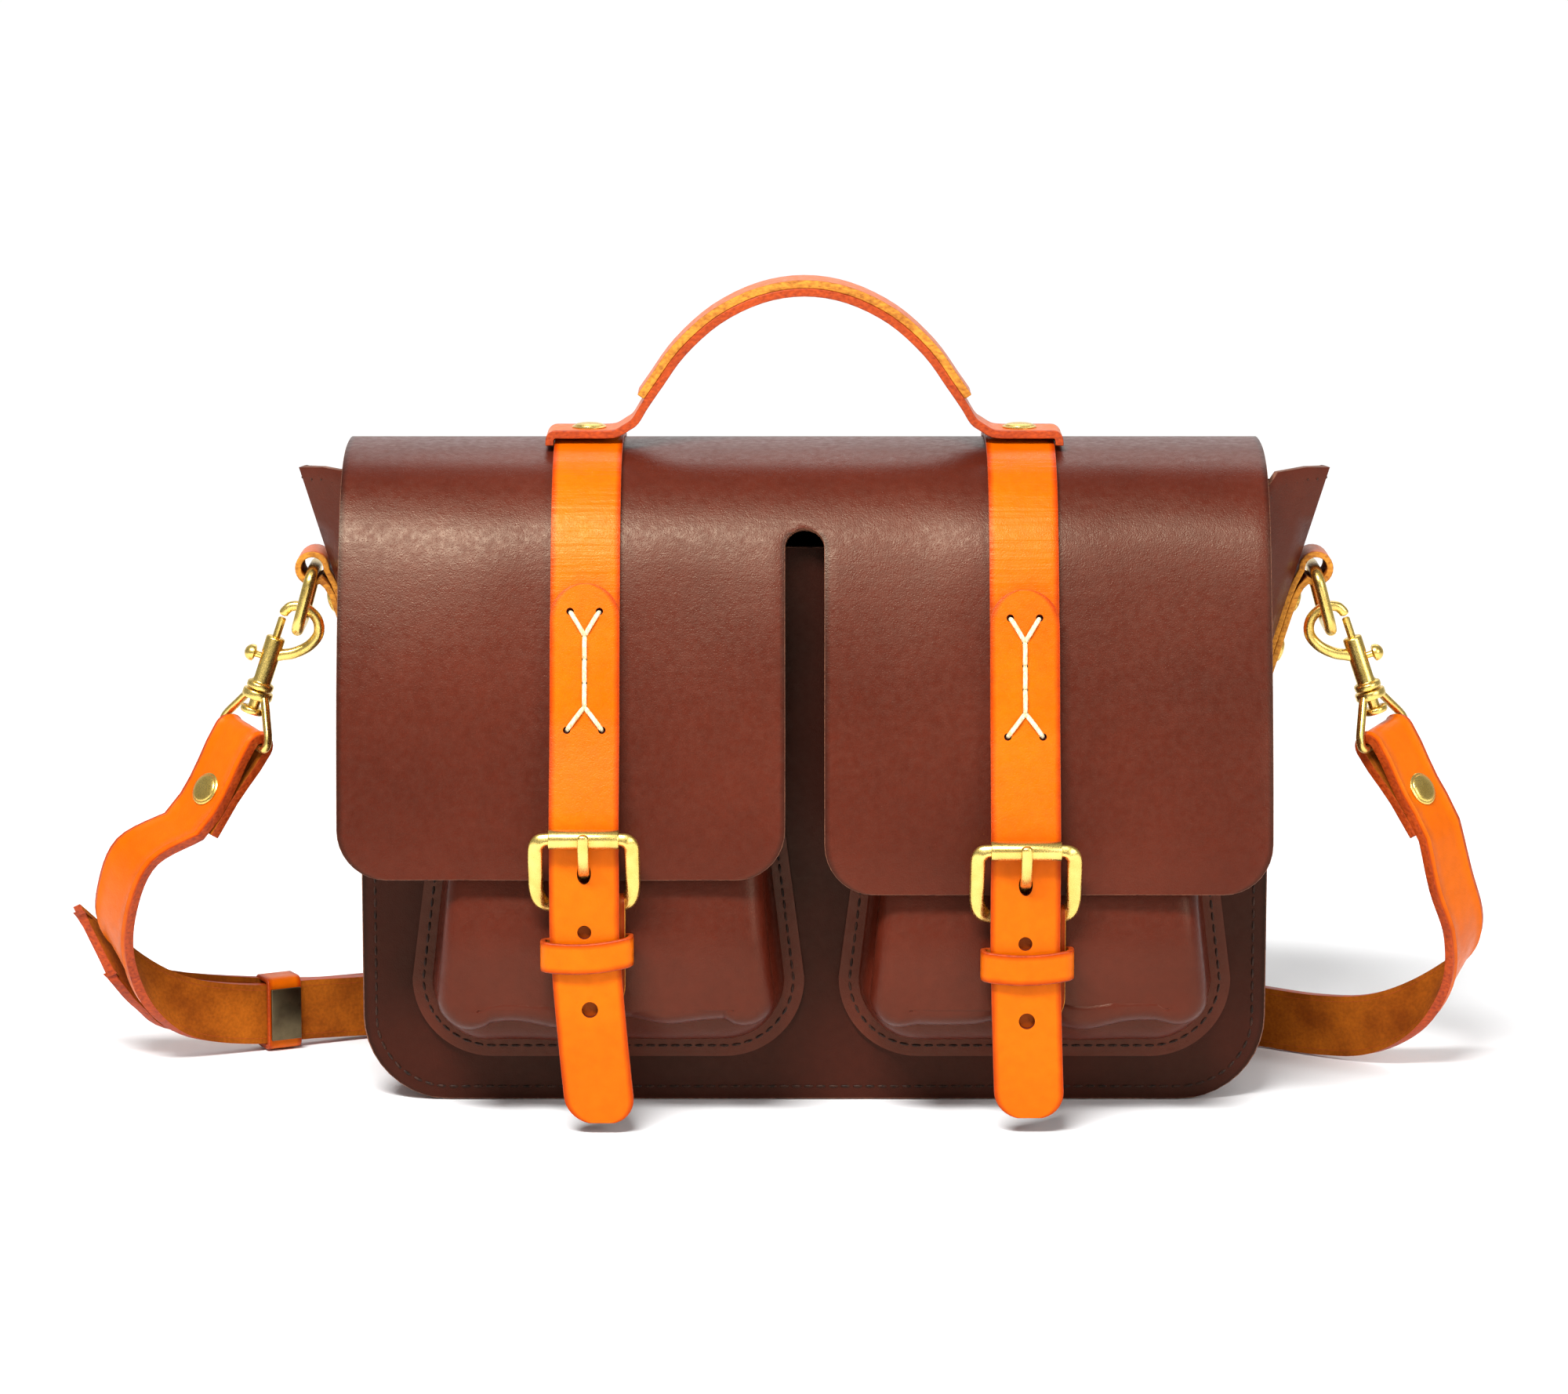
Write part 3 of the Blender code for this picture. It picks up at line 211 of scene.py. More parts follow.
class Shade:
    """A node material, with short ways to lay down its patterns in the object's own space."""

    def __init__(self, name, roughness=0.5, metallic=0.0):
        self.material = bpy.data.materials.new(name)
        self.material.use_nodes = True
        self.tree = self.material.node_tree
        self.shader = self.tree.nodes["Principled BSDF"]
        self.shader.inputs["Roughness"].default_value = roughness
        self.shader.inputs["Metallic"].default_value = metallic
        self.place = self.tree.nodes.new("ShaderNodeTexCoord").outputs["Object"]

    def node(self, kind, **inputs):
        made = self.tree.nodes.new(kind)
        for name, value in inputs.items():
            self.feed(made.inputs[name], value)
        return made

    def feed(self, socket, value):
        if isinstance(value, bpy.types.NodeSocket):
            self.tree.links.new(value, socket)
        else:
            socket.default_value = value

    def stretched(self, stretch):
        mapping = self.node("ShaderNodeMapping", Vector=self.place)
        mapping.inputs["Scale"].default_value = stretch
        return mapping.outputs["Vector"]

    def noise(self, scale, detail=3.0, stretch=EVEN):
        where = self.stretched(stretch)
        return self.node("ShaderNodeTexNoise", Vector=where, Scale=scale, Detail=detail).outputs["Fac"]

    def cells(self, scale):
        where = self.stretched(EVEN)
        return self.node("ShaderNodeTexVoronoi", Vector=where, Scale=scale).outputs["Distance"]

    def ramp(self, factor, *stops):
        made = self.node("ShaderNodeValToRGB", Fac=factor)
        band = made.color_ramp
        while len(band.elements) < len(stops):
            band.elements.new(0.5)
        for element, (position, value) in zip(band.elements, stops):
            element.position = position
            element.color = (*value, 1.0) if isinstance(value, tuple) else (value, value, value, 1.0)
        return made.outputs["Color"]

    def maths(self, operation, a, b):
        made = self.node("ShaderNodeMath")
        made.operation = operation
        self.feed(made.inputs[0], a)
        self.feed(made.inputs[1], b)
        return made.outputs["Value"]

    def blended(self, factor, a, b, mode="MIX"):
        made = self.node("ShaderNodeMix")
        made.data_type = "RGBA"
        made.blend_type = mode
        self.feed(made.inputs["Factor"], factor)
        self.feed(made.inputs[6], a)
        self.feed(made.inputs[7], b)
        return made.outputs[2]

    def height(self):
        return self.node("ShaderNodeSeparateXYZ", Vector=self.place).outputs["Z"]

    def edge(self):
        made = self.node("ShaderNodeAttribute")
        made.attribute_name = "edge"
        return made.outputs["Fac"]

    def colour(self, value):
        self.feed(self.shader.inputs["Base Color"], value)

    def roughness(self, value):
        self.feed(self.shader.inputs["Roughness"], value)

    def bump(self, *layers):
        """Layers of (height, depth in millimetres), laid over one another."""
        normal = None
        for height, depth in layers:
            made = self.node("ShaderNodeBump", Height=height, Distance=depth * MM, Strength=1.0)
            if normal is not None:
                self.feed(made.inputs["Normal"], normal)
            normal = made.outputs["Normal"]
        self.feed(self.shader.inputs["Normal"], normal)


def grain_leather(name, dark, middle, light, roughness, burnish, sheen, wrinkles=0.0, level=0.26):
    """The smooth side of the hide: clouded colour, fine pores and faint creases.
    Burnish is the colour that the rubbed edges are multiplied by; sheen is the wax's colour."""
    s = Shade(name)
    clouded = s.ramp(s.noise(16.0, 6.0), (0.28, dark), (0.5, middle), (0.75, light))
    fibres = s.ramp(s.noise(260.0, 4.0), (0.3, 0.80), (0.7, 1.0))
    flat = s.blended(0.55, clouded, fibres, "MULTIPLY")
    ragged = s.maths("ADD", s.edge(), s.maths("MULTIPLY", s.noise(120.0), 0.08))
    near_edge = s.ramp(ragged, (0.86, 0.0), (1.03, 1.0))
    s.colour(s.blended(near_edge, flat, s.blended(1.0, flat, (*burnish, 1.0), "MULTIPLY")))
    rough = s.ramp(s.noise(420.0, 3.0), (0.3, roughness - 0.06), (0.7, roughness + 0.08))
    s.roughness(rough)
    pores = s.ramp(s.cells(1500.0), (0.0, 0.0), (0.45, 1.0))
    folds = s.noise(90.0, 5.0, (0.35, 1.0, 1.6))
    layers = [(folds, 0.09), (s.noise(620.0, 3.0), 0.06), (s.noise(1700.0, 2.0), 0.05), (pores, 0.03)]
    if wrinkles:
        above = s.ramp(s.height(), (0.150, 0.0), (0.225, 1.0))
        fine = s.noise(240.0, 4.0, (0.12, 1.0, 2.6))
        layers.insert(0, (s.maths("MULTIPLY", above, fine), wrinkles))
    s.bump(*layers)
    s.shader.inputs["Specular IOR Level"].default_value = level
    s.shader.inputs["Specular Tint"].default_value = (*sheen, 1.0)
    return s.material


def suede(name, dark, light):
    """The flesh side of the hide, with short fibres."""
    s = Shade(name, 0.95)
    blotches = s.ramp(s.noise(60.0, 6.0), (0.3, dark), (0.72, light))
    specks = s.ramp(s.noise(900.0, 3.0), (0.35, 0.62), (0.65, 1.0))
    s.colour(s.blended(0.6, blotches, specks, "MULTIPLY"))
    s.bump((s.noise(300.0, 5.0), 0.25), (s.noise(1200.0, 2.0), 0.08))
    s.shader.inputs["Specular IOR Level"].default_value = 0.12
    return s.material


def cut_edge(name, dark, light, roughness, relief=0.12):
    """The cut through the hide, dyed and rubbed."""
    s = Shade(name)
    fibres = s.noise(1100.0, 5.0, (0.6, 1.0, 1.0))
    worn = s.ramp(s.noise(70.0), (0.2, 0.72), (0.7, 1.1))
    s.colour(s.ramp(s.maths("MULTIPLY", fibres, worn), (0.22, dark), (0.62, light)))
    s.roughness(s.ramp(fibres, (0.3, roughness - 0.08), (0.7, roughness + 0.12)))
    s.bump((fibres, relief))
    s.shader.inputs["Specular IOR Level"].default_value = 0.25
    return s.material


def metal(name, colour, worn, roughness):
    """Satin plating with fine brush marks and slightly darker patches."""
    s = Shade(name, roughness, 1.0)
    s.colour(s.ramp(s.noise(140.0, 5.0), (0.3, worn), (0.62, colour)))
    marks = s.noise(2600.0, 3.0)
    s.roughness(s.ramp(marks, (0.3, roughness - 0.05), (0.7, roughness + 0.10)))
    s.bump((marks, 0.006), (s.noise(160.0, 2.0), 0.008))
    return s.material


def thread_shade(name, dark, light, roughness):
    """Waxed, twisted thread."""
    s = Shade(name, roughness)
    s.shader.inputs["Specular IOR Level"].default_value = 0.15
    twist = s.noise(1400.0, 2.0, (1.0, 1.0, 0.4))
    s.colour(s.ramp(twist, (0.35, dark), (0.65, light)))
    s.bump((twist, 0.10))
    return s.material


RED_BURNISH = (0.62, 0.30, 0.20)
DARK_BURNISH = (0.45, 0.40, 0.40)
WARM_SHEEN = (1.0, 0.66, 0.30)
BROWN_SHEEN = (1.0, 0.84, 0.62)
TAN_TONES = ((0.560, 0.086, 0.0003), (0.625, 0.107, 0.0005), (0.690, 0.132, 0.0010))
FLAP_TONES = ((0.060, 0.0076, 0.0032), (0.073, 0.0100, 0.0044), (0.088, 0.0132, 0.0060))
# Panel tones: a darker copy of the flap's chestnut, painted shade for the shadow under the flap and in its
# slot; it covers the whole of both panels
PANEL_SHADED_TONES = ((0.020, 0.0028, 0.0015), (0.031, 0.0044, 0.0023), (0.045, 0.0066, 0.0034))
# A darker copy of the tan: painted shade for the short straps, which hang in the shadow behind the tails and
# show through their holes
TAN_SHADED_TONES = ((0.200, 0.022, 0.0006), (0.280, 0.036, 0.0010), (0.360, 0.052, 0.0016))
CHESTNUT = grain_leather("chestnut_grain", *FLAP_TONES, 0.35, DARK_BURNISH, BROWN_SHEEN)
PANEL_SHADED_GRAIN = grain_leather("chestnut_panel_painted_shade", *PANEL_SHADED_TONES, 0.42, DARK_BURNISH, BROWN_SHEEN, level=0.16)
CHESTNUT_FLESH = suede("chestnut_flesh", (0.020, 0.006, 0.004), (0.052, 0.017, 0.010))
CHESTNUT_EDGE = cut_edge("chestnut_edge", (0.030, 0.009, 0.005), (0.190, 0.070, 0.036), 0.5)
TAN = grain_leather("tan_grain", *TAN_TONES, 0.36, RED_BURNISH, WARM_SHEEN)
TAN_CREASED = grain_leather("tan_creased", *TAN_TONES, 0.33, RED_BURNISH, WARM_SHEEN, 0.35)
TAN_FLESH = suede("tan_flesh", (0.190, 0.038, 0.0012), (0.420, 0.105, 0.0050))
TAN_EDGE = cut_edge("tan_edge", (0.170, 0.014, 0.0012), (0.430, 0.055, 0.0040), 0.42, 0.05)
TAN_SHADED_GRAIN = grain_leather("tan_painted_shade", *TAN_SHADED_TONES, 0.42, RED_BURNISH, WARM_SHEEN)
RAW_EDGE = cut_edge("raw_edge", (0.230, 0.060, 0.004), (0.600, 0.240, 0.025), 0.75, 0.2)
HOLE_EDGE = cut_edge("hole_edge", (0.035, 0.004, 0.001), (0.170, 0.015, 0.002), 0.6)
BRASS = metal("satin_brass", (0.840, 0.610, 0.175), (0.720, 0.490, 0.120), 0.27)
BRONZE = metal("dark_bronze", (0.130, 0.100, 0.055), (0.075, 0.055, 0.030), 0.32)
STEEL = metal("nickel_steel", (0.620, 0.615, 0.590), (0.500, 0.495, 0.470), 0.30)
CREAM_THREAD = thread_shade("cream_lacing", (0.560, 0.430, 0.230), (0.860, 0.750, 0.510), 0.6)
DARK_THREAD = thread_shade("brown_thread", (0.010, 0.005, 0.003), (0.050, 0.020, 0.012), 0.4)

# Grain, flesh and cut edge of each piece of leather
CHESTNUT_HIDE = (CHESTNUT, CHESTNUT_FLESH, CHESTNUT_EDGE)
# The panels' grain is that darker chestnut with less gloss: painted shade
PANEL_SHADED_HIDE = (PANEL_SHADED_GRAIN, CHESTNUT_FLESH, CHESTNUT_EDGE)
TAN_HIDE = (TAN, TAN_FLESH, TAN_EDGE)
PUNCHED_HIDE = (*TAN_HIDE, HOLE_EDGE)
CREASED_HIDE = (TAN_CREASED, TAN_FLESH, TAN_EDGE)
GRIP_HIDE = (TAN, TAN_FLESH, RAW_EDGE)
# The short straps' grain is that darker tan: painted shade
SHORT_HIDE = (TAN_SHADED_GRAIN, TAN_FLESH, RAW_EDGE)


# ---------------------------------------------------------------- shape helpers

def mesh_object(name, bm, shades):
    bmesh.ops.remove_doubles(bm, verts=bm.verts, dist=WELD)
    bm.normal_update()
    data = bpy.data.meshes.new(name)
    bm.to_mesh(data)
    bm.free()
    for shade in shades:
        data.materials.append(shade)
    obj = bpy.data.objects.new(name, data)
    bpy.context.scene.collection.objects.link(obj)
    return obj


def settle(obj, sharp=48.0):
    """Apply the modifiers and shade the mesh smooth, but for its sharp edges."""
    bpy.context.view_layer.update()
    data = bpy.data.meshes.new_from_object(obj.evaluated_get(bpy.context.evaluated_depsgraph_get()))
    obj.modifiers.clear()
    obj.data = data
    data.name = obj.name
    data.shade_smooth()
    data.set_sharp_from_angle(angle=math.radians(sharp))
    return obj


def grid(bm, rows):
    """Quads between rows of points; their normals are the rows' direction of travel crossed with a row's.
    The layer "edge" is 1 at the ends of the rows and falls to 0 over EDGE_REACH."""
    edge = bm.verts.layers.float.get("edge") or bm.verts.layers.float.new("edge")
    made = [[bm.verts.new(Vector(p) * MM) for p in row] for row in rows]
    for row in made:
        for vert in row:
            near = min((vert.co - row[0].co).length, (vert.co - row[-1].co).length)
            vert[edge] = max(1.0 - near / (EDGE_REACH * MM), 0.0)
    for upper, lower in zip(made, made[1:]):
        for i in range(len(upper) - 1):
            bm.faces.new((upper[i], lower[i], lower[i + 1], upper[i + 1]))


def thicken(obj, thickness, grow, rim, even=True):
    """Leather from its surface: grain, flesh and cut edge take the first three materials."""
    solid = obj.modifiers.new("thickness", "SOLIDIFY")
    solid.thickness = thickness * MM
    solid.offset = grow
    solid.use_even_offset = even
    solid.material_offset = 1
    solid.material_offset_rim = 2
    edge = obj.modifiers.new("edge", "BEVEL")
    edge.width = rim * MM
    edge.segments = 3
    edge.limit_method = "ANGLE"
    edge.angle_limit = math.radians(60)
    edge.material = 2
    return settle(obj)


def leather(name, rows, thickness, grow, hide, rim=0.55):
    bm = bmesh.new()
    grid(bm, rows)
    return thicken(mesh_object(name, bm, hide), thickness, grow, rim)


def ribbon(middles, half, columns):
    """Rows along Y through the middles of a strap."""
    return [[p + Vector((0.0, t * half, 0.0)) for t in spread(-1.0, 1.0, columns)] for p in middles]


def finish(obj, body, slot, *nodes):
    """The piece rides on its body, and stands for its CAD nodes."""
    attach(obj, body)
    if nodes:
        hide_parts(*nodes)


def arc(centre, radius, start, end, steps):
    """Points on a circle, with the angles in degrees."""
    found = []
    for i in range(steps + 1):
        angle = math.radians(start + (end - start) * i / steps)
        found.append((centre[0] + radius * math.cos(angle), centre[1] + radius * math.sin(angle)))
    return found


def oval(a, b, power=2.0, steps=16):
    """A closed section, round at power 2 and squarer above it."""
    found = []
    for i in range(steps):
        c = math.cos(2 * math.pi * i / steps)
        s = math.sin(2 * math.pi * i / steps)
        x = math.copysign(abs(c) ** (2 / power), c) * a
        found.append((x, math.copysign(abs(s) ** (2 / power), s) * b))
    return found


def axes_at(origin, x_axis, z_axis):
    """A placing in millimetres whose Z and X run along the given directions."""
    z = Vector(z_axis).normalized()
    x = (Vector(x_axis) - z * z.dot(Vector(x_axis))).normalized()
    turn = Matrix((x, z.cross(x), z)).transposed().to_4x4()
    return Matrix.Translation(Vector(origin)) @ turn


def mirrored(vector, sign):
    return Vector((vector[0] * sign, vector[1], vector[2]))


def smooth(points, pieces, cyclic=False):
    """A curve through the points, with the given number of pieces between each two."""
    points = [Vector(p) for p in points]
    if cyclic:
        ends = [points[-1]] + points + points[:2]
    else:
        ends = [points[0] * 2 - points[1]] + points + [points[-1] * 2 - points[-2]]
    found = []
    for i in range(1, len(ends) - 2):
        a, b, c, d = ends[i - 1:i + 3]
        for k in range(pieces):
            t = k / pieces
            found.append(0.5 * (2 * b + (c - a) * t + (2 * a - 5 * b + 4 * c - d) * t * t
                                + (3 * b - a - 3 * c + d) * t ** 3))
    return found if cyclic else found + [points[-1]]


def sweep(name, points, up, section, cyclic=False, scales=None, shade=BRASS):
    """A closed section carried along a path that keeps to one plane; up is that plane's normal."""
    bm = bmesh.new()
    rings = []
    last = len(points) - 1
    for i, point in enumerate(points):
        before = points[i - 1] if cyclic or i else point
        after = points[(i + 1) % len(points)] if cyclic or i < last else point
        run = (after - before).normalized()
        side = run.cross(up).normalized()
        scale = scales[i] if scales else 1.0
        high = side.cross(run)
        rings.append([bm.verts.new((point + (side * u + high * v) * scale) * MM) for u, v in section])
    pairs = list(zip(rings, rings[1:]))
    if cyclic:
        pairs.append((rings[-1], rings[0]))
    for a, b in pairs:
        for k in range(len(section)):
            nxt = (k + 1) % len(section)
            bm.faces.new((a[k], a[nxt], b[nxt], b[k]))
    if not cyclic:
        bm.faces.new(rings[0][::-1])
        bm.faces.new(rings[-1])
    bmesh.ops.recalc_face_normals(bm, faces=bm.faces)
    return settle(mesh_object(name, bm, (shade,)), 60.0)


def tipped(points, radius):
    """The path and its section sizes, with a rounded tip added to the far end."""
    points = [Vector(p) for p in points]
    scales = [1.0] * len(points)
    run = (points[-1] - points[-2]).normalized()
    tip = points[-1]
    for out, scale in ((0.42, 0.9), (0.76, 0.65), (0.94, 0.34), (1.0, 0.08)):
        points.append(tip + run * radius * out)
        scales.append(scale)
    return points, scales


def lathe(name, profile, placing, steps=40):
    """A turned piece of brass; the profile lists (radius, height) down its outer side."""
    bm = bmesh.new()
    rows = []
    for i in range(steps + 1):
        angle = 2 * math.pi * i / steps
        rows.append([placing @ Vector((r * math.cos(angle), r * math.sin(angle), h)) for r, h in profile])
    grid(bm, rows)
    bmesh.ops.remove_doubles(bm, verts=bm.verts, dist=WELD)
    bmesh.ops.recalc_face_normals(bm, faces=bm.faces)
    return settle(mesh_object(name, bm, (BRASS,)), 38.0)


def cut(obj, bm, shades, index):
    """Cut the shapes in bm out of the piece; the cut faces take the material with that index."""
    for face in bm.faces:
        face.material_index = index
    cutter = mesh_object("cutter", bm, shades)
    change = obj.modifiers.new("cut", "BOOLEAN")
    change.operation = "DIFFERENCE"
    change.object = cutter
    settle(obj)
    bpy.data.objects.remove(cutter, do_unlink=True)


def add_cylinder(bm, placing, radius, half_length, sides=24):
    bmesh.ops.create_cone(bm, cap_ends=True, segments=sides, radius1=radius * MM, radius2=radius * MM,
                          depth=2 * half_length * MM, matrix=in_metres(placing))


def in_metres(placing):
    made = placing.copy()
    made.translation = placing.translation * MM
    return made


class Path:
    """A polyline of (y, z, 0) points that can be read by length and offset sideways."""

    def __init__(self, points):
        self.points = [Vector(p) for p in points]
        self.lengths = [0.0]
        for a, b in zip(self.points, self.points[1:]):
            self.lengths.append(self.lengths[-1] + (b - a).length)
        self.length = self.lengths[-1]

    def at(self, s, offset=0.0):
        """The point at length s, moved by offset to the path's outer side."""
        i = 0
        while i < len(self.points) - 2 and self.lengths[i + 1] < s:
            i += 1
        before, after = self.points[i], self.points[i + 1]
        part = (s - self.lengths[i]) / (self.lengths[i + 1] - self.lengths[i])
        near = self.points[max(i - 1, 0)]
        far = self.points[min(i + 2, len(self.points) - 1)]
        start = (after - near).normalized()
        end = (far - before).normalized()
        run = (start * (1 - part) + end * part).normalized()
        return before.lerp(after, part) + Vector((run[1], -run[0], 0.0)) * offset

    def length_at_height(self, z):
        """The length where the path, on its way down, first passes the height z."""
        peak = max(range(len(self.points)), key=lambda k: self.points[k][1])
        for i in range(peak, len(self.points) - 1):
            a, b = self.points[i], self.points[i + 1]
            if a[1] >= z >= b[1]:
                share = (a[1] - z) / (a[1] - b[1])
                return self.lengths[i] + (self.lengths[i + 1] - self.lengths[i]) * share
        return self.length


def rounding(distance, radius):
    """How far a rounded corner has pulled an edge in, at a distance from the corner's end."""
    if distance >= radius:
        return 0.0
    return radius - math.sqrt(max(radius ** 2 - (radius - distance) ** 2, 0.0))


def spread(start, end, count):
    return [start + (end - start) * k / count for k in range(count + 1)]


def round_steps(radius, first=9.0):
    """Distances from a rounded end, closer together at the end itself."""
    return [radius * (1 - math.cos(math.radians(a))) for a in spread(first, 90.0, 9)]


def clamped(x):
    return min(max(x, 0.0), 1.0)


def ease(x):
    x = clamped(x)
    return x * x * (3 - 2 * x)


def ripple(point, size, amount, seed=0.0):
    """A small smooth unevenness; size is its wavelength."""
    return noise.noise(Vector(point) / size + Vector((seed, seed * 1.7, 0.0))) * amount


# ---------------------------------------------------------------- thread

def add_stitches(bm, line, outward):
    """Short raised stitches along a line that lies on a surface."""
    up = Vector(outward)
    path_lengths = [0.0]
    for a, b in zip(line, line[1:]):
        path_lengths.append(path_lengths[-1] + (b - a).length)
    count = int(path_lengths[-1] // STITCH_PITCH)
    i = 0
    for k in range(count):
        s = STITCH_PITCH * (k + 0.5)
        while i < len(line) - 2 and path_lengths[i + 1] < s:
            i += 1
        a, b = line[i], line[i + 1]
        run = (b - a).normalized()
        middle = a.lerp(b, (s - path_lengths[i]) / (b - a).length)
        placing = axes_at(middle + up * STITCH_LIFT, run, up)
        size = Matrix.Diagonal((STITCH_LENGTH / 2, STITCH_RADIUS, STITCH_RADIUS * STITCH_FLATNESS, 1.0))
        bmesh.ops.create_uvsphere(bm, u_segments=10, v_segments=6, radius=MM,
                                  matrix=in_metres(placing) @ size @ Matrix.Rotation(math.pi / 2, 4, "Y"))


def thread_piece(name, bm):
    finish(settle(mesh_object(name, bm, (DARK_THREAD,)), 80.0), "root", "chestnut_leather")


# ---------------------------------------------------------------- body

def panel_half_width(z):
    return BODY_HALF_WIDTH - rounding(z, CORNER_RADIUS)


def panel(name, face, top):
    """One of the two flat panels; face is -1 for the front and +1 for the back."""
    heights = spread(top, CORNER_RADIUS, 30) + [CORNER_RADIUS - d for d in reversed_steps(CORNER_RADIUS)]
    y = face * (GUSSET_HALF_DEPTH + GAP)
    rows = []
    for z in heights:
        w = panel_half_width(z)
        row = []
        for x in spread(-w, w, 48):
            free = ease((w - abs(x)) / SEWN_REACH) * ease(z / SEWN_REACH) * ease((top - z) / 12.0)
            row.append((x, y + face * abs(ripple((x, z, 0.0), *PANEL_RIPPLE, face)) * free, z))
        rows.append(row if face < 0 else row[::-1])
    # The panels take the darker chestnut: painted shade
    piece = leather(name, rows, PANEL_THICKNESS, 1.0, PANEL_SHADED_HIDE, 1.15)
    finish(piece, "root", "chestnut_leather", name)


def reversed_steps(radius):
    """Distances down from a corner's start to its end."""
    return [radius * math.sin(math.radians(a)) for a in spread(9.0, 90.0, 9)]


def panel_seams():
    bm = bmesh.new()
    inset = SEAM_INSET
    for face, top in ((-1, FRONT_TOP), (1, BACK_TOP)):
        w, r = BODY_HALF_WIDTH - inset, CORNER_RADIUS - inset
        line = [(-w, top - 3.0)] + arc((-w + r, r + inset), r, 180, 270, 12)
        line += arc((w - r, r + inset), r, 270, 360, 12) + [(w, top - 3.0)]
        points = [Vector((x, face * PANEL_FACE, z)) for x, z in line]
        add_stitches(bm, points, (0.0, face, 0.0))
    thread_piece("panel_stitches", bm)


def gusset_section():
    """Places across the strip (y, inset, share of the bulge, height of the wing's top), front to back."""
    d = GUSSET_HALF_DEPTH
    front = [(-d, 0.0, 0.0, FRONT_TOP), (-d, 3.0, 0.0, FRONT_TOP), (-d, 6.2, 0.0, FRONT_TOP),
             (-d + 0.6, 7.5, 0.0, FRONT_TOP + 0.8), (-d + 2.2, FLANGE, 0.01, FRONT_TOP + 3.0),
             (-29.5, FLANGE, 0.13, 212.0), (-24.0, FLANGE, 0.35, 220.4), (-19.0, FLANGE, 0.72, 221.6),
             (-14.0, FLANGE, 1.0, 221.2), (-7.0, FLANGE, 1.0, 220.4), (0.0, FLANGE, 1.0, 219.2)]
    back_tops = [BACK_TOP - 1.5] * 5 + [210.4, 211.0, 212.6, 214.8, 217.2]
    back = [(-y, inset, share, top) for (y, inset, share, _), top in zip(front[:-1], back_tops)]
    return front + back[::-1]


def gusset():
    section = gusset_section()
    w, r = BODY_HALF_WIDTH, CORNER_RADIUS

    def wing(sign, share_up):
        row = []
        for y, inset, share, top in section:
            z = WING_BASE + (top - WING_BASE) * share_up
            bulge = SIDE_BULGE + WING_SLOPE * (z - WING_BASE)
            row.append((sign * (w - inset + share * bulge), y, z))
        return row

    def strip(point, out, bulge):
        row = []
        for y, inset, share, _ in section:
            reach = share * bulge - inset
            row.append((point[0] + out[0] * reach, y, point[1] + out[1] * reach))
        return row

    rows = [wing(-1.0, t) for t in spread(1.0, 0.0, 14)]
    rows += [strip((-w, z), (-1.0, 0.0), SIDE_BULGE) for z in spread(WING_BASE, r, 18)[1:]]
    for a in spread(180.0, 270.0, 10)[1:]:
        out = (math.cos(math.radians(a)), math.sin(math.radians(a)))
        bulge = SIDE_BULGE + (BASE_BULGE - SIDE_BULGE) * (a - 180.0) / 90.0
        rows.append(strip((-w + r + r * out[0], r + r * out[1]), out, bulge))
    for row in rows[:0:-1]:
        rows.append([(-x, y, z) for x, y, z in row])
    rows.append([(-x, y, z) for x, y, z in rows[0]])
    piece = leather("gusset", rows[::-1], GUSSET_THICKNESS, 1.0, CHESTNUT_HIDE, 0.8)
    finish(piece, "root", "chestnut_leather", "gusset")
    bm = bmesh.new()
    for sign in (-1.0, 1.0):
        line = []
        for y, inset, share, top in section[LIP]:
            z = top - LIP_SEAM
            bulge = SIDE_BULGE + WING_SLOPE * (z - WING_BASE)
            line.append(Vector((sign * (w - inset + share * bulge + GUSSET_THICKNESS), y, z)))
        add_stitches(bm, line, (sign, 0.0, -0.3))
    thread_piece("wing_stitches", bm)


# Section of a moulded pocket: how far it is inside the flange's edge on a plain wall, at the creased
# sides and at the creased bottom, and its share of the depth
POCKET_SECTION = (
    (0.0, 0.0, 0.0, 0.0), (3.0, 3.0, 3.0, 0.0), (6.0, 6.0, 6.0, 0.0), (7.8, 7.8, 7.8, 0.0),
    (8.9, 8.8, 8.8, 0.03), (9.3, 9.6, 9.8, 0.12), (9.5, 9.8, 10.4, 0.24), (9.7, 10.2, 10.8, 0.36),
    (9.9, 11.2, 12.6, 0.47), (10.1, 13.2, 17.4, 0.54), (10.3, 15.0, 23.2, 0.58), (10.4, 15.8, 26.0, 0.62),
    (10.6, 14.8, 25.4, 0.67), (10.8, 13.0, 22.6, 0.75), (11.1, 12.2, 21.4, 0.85), (12.0, 12.9, 21.8, 0.93),
    (14.4, 15.0, 23.4, 0.985), (18.0, 18.4, 25.4, 1.0), (21.0, 21.2, 27.0, 1.0))


def pocket_stations():
    """Points (x, z) of the flange's edge and the ways out of the pocket there: down, along and up."""
    r = POCKET_CORNER
    straight = POCKET_HALF_WIDTH - r
    side = [((-POCKET_HALF_WIDTH, z), (-1.0, 0.0)) for z in spread(POCKET_TOP, POCKET_BOTTOM + r, 18)]
    for a in spread(180.0, 270.0, 16)[1:]:
        way = (math.cos(math.radians(a)), math.sin(math.radians(a)))
        side.append(((-straight + r * way[0], POCKET_BOTTOM + r + r * way[1]), way))
    base = [((x, POCKET_BOTTOM), (0.0, -1.0)) for x in spread(-straight, straight, 30)[1:-1]]
    return side, base, [((-x, z), (-wx, wz)) for (x, z), (wx, wz) in reversed(side)]


